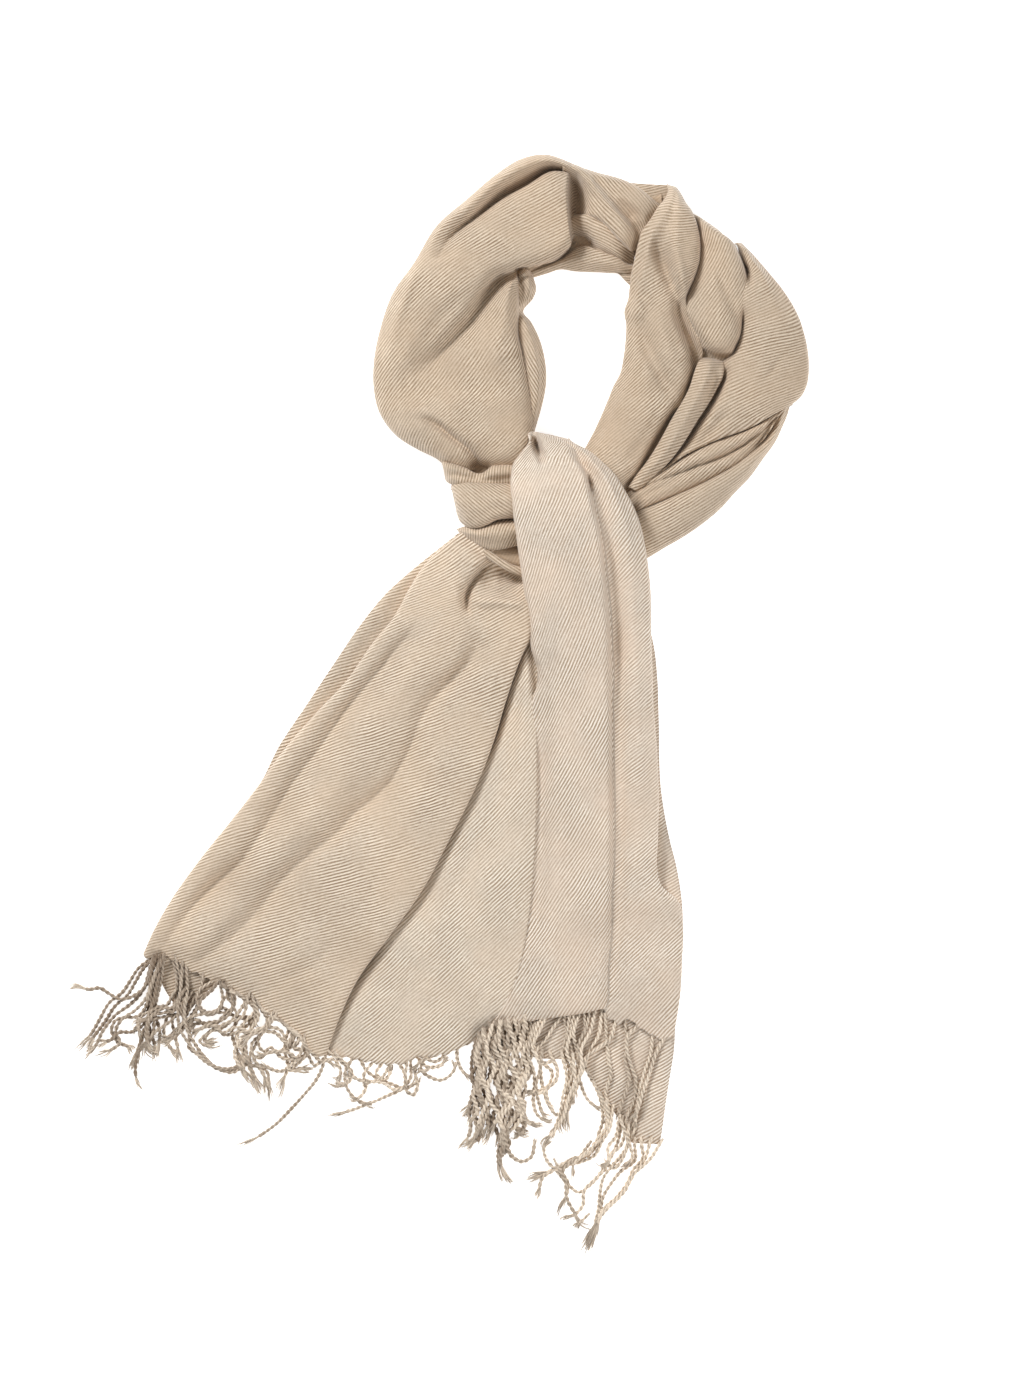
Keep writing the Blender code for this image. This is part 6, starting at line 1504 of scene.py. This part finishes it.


# Tassels, one by one: (tuft's length, tuft's width, x, y, x, y, ...) from the hem to the end.

LEFT_TASSELS = [
    (20, 6, -308, -330, -316, -336, -322, -345, -328, -354, -338, -362, -345, -374, -352, -386, -366, -402),
    (20, 6, -305, -329, -312, -336, -318, -346, -324, -356, -334, -365, -341, -376, -350, -388, -362, -403),
    (18, 6, -306, -332, -309, -342, -313, -353, -322, -363, -333, -371, -342, -382, -348, -394, -359, -408),
    (26, 5, -306, -336, -311, -350, -320, -357, -330, -359, -338, -355, -345, -351, -353, -352, -364, -349,
     -379, -356),
    (18, 7, -303, -330, -306, -342, -308, -356, -309, -370, -307, -384, -303, -396, -301, -410),
    (20, 7, -300, -331, -303, -344, -305, -358, -303, -372, -300, -386, -302, -398, -307, -411),
    (20, 8, -297, -330, -299, -344, -302, -358, -305, -372, -311, -384, -316, -396, -321, -418),
    (18, 7, -298, -330, -304, -345, -305, -360, -304, -374, -306, -388, -317, -400, -326, -417),
    (18, 7, -290, -330, -287, -344, -288, -358, -291, -372, -289, -386, -286, -397, -283, -412),
    (20, 5, -305, -332, -307, -348, -306, -362, -308, -374, -313, -386, -317, -402, -318, -417, -306, -433),
    (16, 7, -287, -332, -284, -346, -286, -360, -294, -372, -297, -384, -292, -396, -280, -407),
    (12, 6, -302, -337, -307, -352, -310, -364, -316, -372, -325, -373, -333, -375, -336, -382, -332, -391,
     -322, -396, -318, -404),
    (16, 6, -304, -342, -311, -360, -319, -368, -328, -374, -333, -384, -330, -392, -336, -397, -352, -402),
    (14, 6, -301, -345, -306, -366, -314, -380, -322, -384, -330, -384, -337, -390, -345, -392, -352, -397),
    (16, 7, -290, -356, -295, -364, -303, -368, -311, -370, -316, -378, -312, -388, -304, -394),
    (16, 7, -279, -358, -286, -366, -296, -369, -308, -372, -318, -380, -324, -389),
    (18, 8, -281, -362, -287, -371, -295, -378, -306, -386, -312, -396, -314, -408),
    (18, 8, -268, -345, -270, -362, -277, -375, -287, -386, -298, -392, -308, -394),
    (16, 8, -275, -361, -280, -371, -288, -384, -299, -389, -310, -388),
    (10, 5, -280, -337, -279, -352, -281, -366, -280, -380, -274, -392, -266, -403, -256, -411, -246, -414,
     -237, -409, -229, -402),
    (10, 5, -283, -336, -284, -352, -286, -368, -285, -380, -279, -391, -270, -402, -260, -409, -248, -411,
     -238, -407, -232, -398),
    (16, 7, -284, -356, -290, -365, -298, -366, -306, -372, -310, -384, -306, -396, -296, -400),
    (14, 6, -262, -347, -270, -352, -271, -362, -265, -369, -256, -367, -251, -358, -246, -356, -238, -362),
    (16, 7, -258, -348, -264, -355, -271, -363, -266, -370, -254, -369, -242, -372, -232, -376, -224, -388),
    (14, 6, -254, -350, -253, -360, -257, -368, -268, -370, -278, -373, -286, -381, -294, -390),
    (14, 6, -250, -351, -244, -358, -245, -366, -252, -374, -264, -377, -274, -378, -284, -386),
    (18, 7, -246, -353, -245, -364, -241, -373, -246, -383, -244, -393, -240, -403, -232, -414),
    (20, 8, -242, -355, -232, -359, -229, -368, -236, -376, -242, -387, -238, -399, -233, -410, -223, -432),
    (20, 8, -238, -357, -229, -365, -229, -377, -235, -388, -235, -400, -231, -412, -222, -437),
    (16, 7, -234, -359, -238, -372, -250, -377, -264, -385, -270, -391, -262, -395, -250, -392),
    (18, 7, -229, -361, -226, -372, -232, -382, -240, -390, -244, -400, -238, -412, -228, -424),
    (22, 8, -224, -365, -219, -374, -223, -384, -231, -393, -229, -404, -223, -414, -216, -438),
    (22, 8, -219, -369, -212, -373, -203, -379, -206, -390, -206, -400, -204, -410, -208, -421, -214, -438),
    (16, 7, -216, -371, -221, -380, -233, -383, -243, -380, -252, -384, -262, -378, -272, -384, -280, -392),
    (16, 6, -214, -372, -219, -380, -226, -388, -224, -397, -214, -399, -205, -396, -198, -389),
    (16, 6, -210, -375, -201, -382, -204, -392, -214, -384, -226, -384, -236, -388, -246, -396),
    (14, 6, -206, -378, -199, -386, -204, -396, -201, -406, -208, -413, -222, -409, -232, -404),
    (16, 7, -202, -381, -194, -388, -200, -394, -190, -399, -196, -404, -204, -411, -192, -413, -181, -411),
    (14, 6, -198, -384, -190, -393, -188, -402, -184, -409, -176, -404, -168, -411, -160, -414),
    (12, 5, -193, -390, -189, -400, -194, -404, -204, -399, -214, -398, -224, -401, -234, -399),
    (24, 3, -176, -402, -178, -410, -183, -420, -192, -431, -202, -442, -213, -453, -224, -461, -234, -467,
     -247, -472),
    (18, 8, -186, -399, -178, -406, -171, -404, -165, -411, -166, -420, -179, -422),
    (16, 8, -170, -401, -162, -408, -156, -414, -160, -423, -174, -424),
    (14, 7, -165, -403, -158, -411, -158, -419, -166, -424, -176, -419),
    (22, 4, -112, -408, -112, -418, -118, -426, -130, -432, -144, -438, -158, -443, -182, -447),
    (14, 5, -150, -404, -145, -413, -136, -419, -126, -423, -116, -426, -108, -421, -105, -411),
    (12, 5, -156, -404, -161, -414, -160, -425, -152, -435, -143, -438, -134, -436),
    (12, 5, -140, -406, -147, -416, -146, -427, -153, -434, -162, -429),
    (10, 5, -133, -407, -138, -415, -131, -419, -127, -411, -133, -406),
    (12, 5, -127, -408, -134, -418, -146, -421, -156, -417, -167, -413),
    (12, 5, -121, -407, -117, -414, -117, -425, -124, -427, -132, -422, -142, -421, -153, -422),
    (10, 4, -115, -407, -116, -420, -114, -429, -110, -431, -107, -426, -108, -414, -103, -408),
    (12, 6, -106, -404, -100, -410, -92, -410, -84, -405, -79, -400),
    (12, 5, -102, -403, -104, -412, -97, -418, -89, -420, -82, -416, -78, -408, -79, -399),
    (12, 5, -96, -402, -104, -407, -98, -411, -106, -413, -103, -404),
    (14, 4, -77, -395, -77, -404, -74, -412, -68, -418, -61, -424),
    (14, 4, -85, -400, -93, -406, -102, -404, -109, -410, -118, -414),
]
BUNCH_TASSELS = [
    (18, 4, -63, -392, -66, -405, -66, -418, -64, -428, -68, -438, -80, -451),
    (20, 6, -61, -390, -64, -404, -62, -418, -66, -432, -68, -446, -67, -456, -72, -468, -82, -477),
    (18, 6, -60, -389, -57, -402, -62, -416, -60, -430, -65, -444, -62, -456, -75, -477),
    (18, 6, -58, -387, -61, -400, -56, -414, -60, -428, -58, -442, -58, -454, -64, -471),
    (18, 6, -56, -385, -52, -398, -57, -412, -62, -424, -56, -438, -54, -452, -58, -471),
    (20, 6, -54, -384, -58, -398, -52, -410, -54, -424, -49, -438, -50, -450, -46, -464, -47, -481),
    (22, 6, -51, -382, -47, -394, -51, -408, -45, -422, -47, -436, -42, -450, -45, -464, -46, -480,
     -37, -503),
    (22, 6, -49, -381, -51, -394, -46, -406, -49, -420, -42, -434, -44, -448, -41, -462, -45, -478,
     -42, -490, -33, -502),
    (16, 6, -46, -380, -41, -392, -45, -406, -40, -418, -43, -430, -37, -444, -40, -458, -38, -470,
     -45, -482),
    (12, 4, -43, -380, -46, -392, -38, -404, -42, -418, -36, -430, -39, -444, -42, -456, -40, -468,
     -36, -477, -28, -481, -22, -478, -20, -466, -23, -458),
    (12, 5, -40, -380, -36, -392, -40, -404, -33, -418, -37, -430, -31, -442, -34, -453, -28, -460,
     -21, -457),
    (12, 5, -37, -379, -39, -392, -31, -404, -35, -418, -29, -430, -33, -444, -27, -455, -34, -462,
     -41, -458),
    (12, 5, -33, -378, -29, -390, -33, -402, -28, -414, -32, -428, -27, -440, -31, -451, -38, -458,
     -46, -464),
    (14, 5, -30, -377, -34, -390, -27, -400, -31, -412, -26, -424, -29, -438, -24, -452, -20, -461),
    (14, 5, -26, -376, -24, -388, -28, -400, -24, -412, -29, -424, -31, -436, -27, -448, -20, -453,
     -10, -451),
    (16, 6, -59, -388, -63, -402, -59, -418, -65, -430, -62, -444, -67, -452, -70, -460),
    (16, 6, -57, -386, -54, -402, -58, -416, -54, -430, -58, -444, -62, -456, -64, -468),
    (16, 6, -52, -383, -55, -396, -49, -410, -54, -424, -52, -436, -46, -446, -52, -456, -57, -466),
    (16, 6, -45, -380, -49, -394, -43, -408, -47, -422, -40, -436, -46, -448, -42, -460, -46, -474),
    (14, 6, -38, -379, -34, -394, -37, -408, -31, -420, -36, -434, -30, -446, -36, -456),
]
FRONT_TASSELS = [
    (12, 4, -22, -375, -22, -386, -20, -396, -24, -408, -28, -420, -30, -432),
    (14, 5, -18, -375, -22, -388, -24, -400, -20, -412, -19, -424, -20, -436, -17, -446, -8, -451, 0, -446),
    (12, 5, -15, -374, -19, -386, -19, -398, -15, -408, -14, -420, -11, -432, -7, -441, 0, -446),
    (12, 5, -11, -373, -16, -384, -21, -394, -13, -407, -6, -414, -10, -425, -22, -429, -31, -433),
    (12, 5, -2, -376, -10, -388, -18, -399, -14, -407, -5, -406, -2, -415, -8, -425, -18, -430, -28, -428),
    (22, 8, 3, -372, 5, -384, 3, -398, 7, -412, 6, -426, 3, -440, 1, -450, 5, -465),
    (22, 8, 7, -371, 6, -386, 9, -400, 8, -414, 9, -428, 6, -442, 6, -465),
    (18, 7, 10, -371, 8, -384, 5, -398, 10, -412, 5, -428, 4, -442, -2, -458),
    (16, 6, 14, -371, 10, -384, 13, -398, 15, -410, 13, -424, 8, -436, 6, -448),
    (14, 5, 18, -370, 19, -382, 15, -396, 13, -410, 16, -424, 22, -436, 30, -441, 39, -441),
    (14, 5, 22, -368, 20, -380, 14, -394, 16, -406, 12, -420, 10, -432, 8, -446),
    (14, 5, 26, -368, 23, -382, 16, -396, 16, -410, 11, -424, 3, -434),
    (14, 5, 31, -371, 29, -386, 22, -398, 18, -410, 12, -422, 10, -438),
    (16, 5, 34, -375, 35, -388, 36, -402, 38, -416, 34, -430, 38, -444, 32, -458),
    (14, 5, 41, -378, 38, -388, 28, -396, 20, -402, 16, -414, 12, -428),
    (14, 4, 49, -380, 50, -394, 49, -406, 52, -418, 48, -432, 44, -446, 47, -458),
    (16, 5, 56, -381, 51, -386, 50, -396, 53, -408, 57, -420, 56, -434, 50, -448, 46, -462),
    (16, 5, 69, -388, 68, -400, 64, -412, 60, -426, 58, -440, 56, -452, 54, -466),
    (16, 5, 77, -389, 71, -402, 67, -414, 62, -428, 57, -444, 51, -458),
]
BACK_TASSELS = [
    (12, 5, -14, -402, -15, -412, -18, -424, -16, -436, -12, -446, -3, -450),
    (12, 5, -6, -403, -2, -412, -3, -420, -10, -427, -8, -438, -3, -446, 3, -440),
    (18, 6, 2, -403, 5, -418, 2, -432, 0, -446, -4, -456, -13, -470),
    (18, 6, 10, -405, 11, -420, 6, -434, 2, -448, -4, -458, -11, -466, -13, -478),
    (16, 6, 22, -416, 27, -426, 31, -438, 32, -450, 28, -462, 21, -476),
    (20, 8, 27, -425, 32, -436, 35, -448, 33, -460, 28, -470, 18, -482),
    (24, 8, 31, -432, 37, -444, 34, -456, 26, -467, 20, -477, 8, -481, -3, -485),
    (26, 7, 35, -440, 36, -452, 28, -464, 22, -474, 12, -480, 0, -485, -12, -490, -34, -495),
    (24, 7, 39, -444, 37, -456, 31, -466, 26, -476, 16, -481, 4, -484, -10, -489, -32, -500),
    (18, 6, 20, -470, 14, -478, 4, -482, -6, -488, -13, -493, -16, -503, -21, -517),
    (10, 4, 46, -452, 44, -464, 38, -478, 30, -490, 21, -500, 14, -504, 6, -498, -2, -488, -10, -480,
     -12, -471, -4, -462),
    (14, 5, 49, -456, 46, -468, 38, -476, 34, -486, 26, -494, 18, -503, 17, -514, 12, -520, 3, -524,
     -3, -529),
    (16, 3, 26, -468, 16, -477, 10, -482, 10, -490, 9, -499),
    (24, 6, 8, -481, 2, -488, 6, -497, 5, -506, 1, -515, -4, -528),
    (22, 6, -2, -484, 4, -496, 5, -508, 10, -518, 16, -525, 29, -530),
    (32, 8, 54, -461, 48, -474, 41, -482, 33, -492, 30, -504, 29, -516, 26, -528, 16, -556),
    (34, 8, 56, -468, 56, -480, 46, -488, 38, -498, 32, -508, 30, -520, 24, -534, 10, -557),
    (32, 7, 61, -468, 62, -478, 55, -487, 50, -498, 42, -508, 33, -516, 27, -530, 21, -553),
    (34, 8, 67, -468, 64, -478, 57, -488, 50, -500, 43, -509, 34, -516, 28, -526, 18, -555),
    (30, 7, 74, -469, 69, -477, 61, -485, 54, -491, 49, -502, 40, -511, 32, -520, 25, -532, 13, -553),
    (18, 8, 44, -451, 42, -462, 36, -470, 36, -482, 30, -486, 24, -480),
    (18, 8, 51, -458, 50, -470, 46, -480, 40, -486, 34, -482, 31, -474),
    (14, 5, 47, -454, 52, -468, 54, -478, 48, -484, 40, -486),
    (10, 3, 18, -524, 12, -530, 10, -536),
]


def lay(name, tassels, seed, twinned=(), radius=YARN_RADIUS):
    """Lays the tassels down, some of them with a twin each that wanders beside it."""
    bundle = Bundle(seed)
    draw = bundle.random.uniform
    for index, (tuft, width, *route) in enumerate(tassels):
        route = np.array(route, float).reshape(-1, 2)
        # In bundles with twins, tassels laid earlier lie lower and get painted shade; the others get none.
        bundle.order = index / len(tassels) if twinned else 1.0
        if index in twinned:
            drift = draw(-TWIN_DRIFT, TWIN_DRIFT, route.shape)
            drift[0] = (draw(-TWIN_ROOT, TWIN_ROOT), 0)
            bundle.tassel(route + drift, tuft, width, radius)
        bundle.tassel(route, tuft, width, radius)
    return bundle.build(name)


under_fringe = ground.copy()
left_fringe = lay("fringe_left", LEFT_TASSELS, 101, range(15, 40, 2))
bunch_fringe = lay("fringe_right_bunch", BUNCH_TASSELS, 202, range(0, 20, 2), BUNCH_RADIUS)
front_fringe = lay("fringe_right_front", FRONT_TASSELS, 303)
back_fringe = lay("fringe_right_back", BACK_TASSELS, 404)

cloth("tail_left_front", TAIL_LEFT_FRONT, (2, 1), [30, 18, 15, 17], left_lit_twill, "laid", 52, 0.8,
      strokes=TAIL_LEFT_FRONT_STROKES, hem=TAIL_LEFT_FRONT_HEM, scallop=True)
cloth("tail_left_fold", TAIL_LEFT_FOLD, (0, 0), [58, 51, 46, 43, 42, 40], fold_lit_twill, "laid",
      53, 0.6, strokes=TAIL_LEFT_FOLD_STROKES, hem=TAIL_LEFT_FOLD_HEM, scallop=True)
cloth("tail_right_front", TAIL_RIGHT_FRONT, (2, 2), TAIL_RIGHT_HEADINGS, right_lit_twill, "laid",
      62, 0.8, strokes=TAIL_RIGHT_FRONT_STROKES, hem=TAIL_RIGHT_FRONT_HEM, scallop=True,
      split=TAIL_RIGHT_CREASE)

# ---------------------------------------------------------------- floor, light and camera

HALF_FLOOR = 3000
FLOOR_LEVEL = -0.2
SCARF_MIDDLE = (0, -0.1, 0)  # in metres, where the lamps aim
SENSOR = 36.0  # the camera's, in millimetres
CAMERA_HEIGHT = 4.0  # in metres
VIEW_CENTRE = (-36.0, -129.4)  # in millimetres, as is VIEW_LENGTH
VIEW_LENGTH = 1038.75  # of what the camera sees, from top to bottom

world = bpy.data.worlds.new("studio")
world.use_nodes = True
sky = world.node_tree.nodes["Background"].inputs
sky["Color"].default_value = (1.0, 0.99, 0.97, 1)
sky["Strength"].default_value = 0.36
bpy.context.scene.world = world

floor_paint = Nodes("floor_paint")
floor_paint.fill(floor_paint.shader, {
    "Base Color": (0.85, 0.85, 0.85, 1),
    "Roughness": 0.9,
    "Specular IOR Level": 0.1,
    "Emission Color": (1, 1, 1, 1),
    "Emission Strength": 0.75,
})
signs = ((-1, -1), (1, -1), (1, 1), (-1, 1))
corners = [(x * HALF_FLOOR, y * HALF_FLOOR, FLOOR_LEVEL) for x, y in signs]
floor = mesh_object("floor", corners, [(0, 1, 2, 3)], material=floor_paint.material, smooth=False)


def lamp(name, place, size, power):
    """A square lamp at a place in metres, turned towards the scarf."""
    data = bpy.data.lights.new(name, "AREA")
    data.shape = "SQUARE"
    data.size = size
    data.energy = power
    light = bpy.data.objects.new(name, data)
    bpy.context.scene.collection.objects.link(light)
    light.location = place
    back = np.array(place) - np.array(SCARF_MIDDLE)
    tilt, yaw = math.acos(back[2] / np.linalg.norm(back)), math.atan2(back[0], -back[1])
    light.rotation_euler = (tilt, 0, yaw)


lamp("key", (-1.2, 1.2, 1.45), 0.6, 38)
lamp("fill", (1.7, -1.4, 1.5), 1.6, 31)

camera_data = bpy.data.cameras.new("camera")
camera_data.sensor_fit = "AUTO"
camera_data.sensor_width = SENSOR
camera_data.lens = SENSOR * CAMERA_HEIGHT / (VIEW_LENGTH * MM)
camera = bpy.data.objects.new("camera", camera_data)
camera.location = (VIEW_CENTRE[0] * MM, VIEW_CENTRE[1] * MM, CAMERA_HEIGHT)
bpy.context.scene.collection.objects.link(camera)
bpy.context.scene.camera = camera
bpy.context.scene.view_settings.view_transform = "Standard"
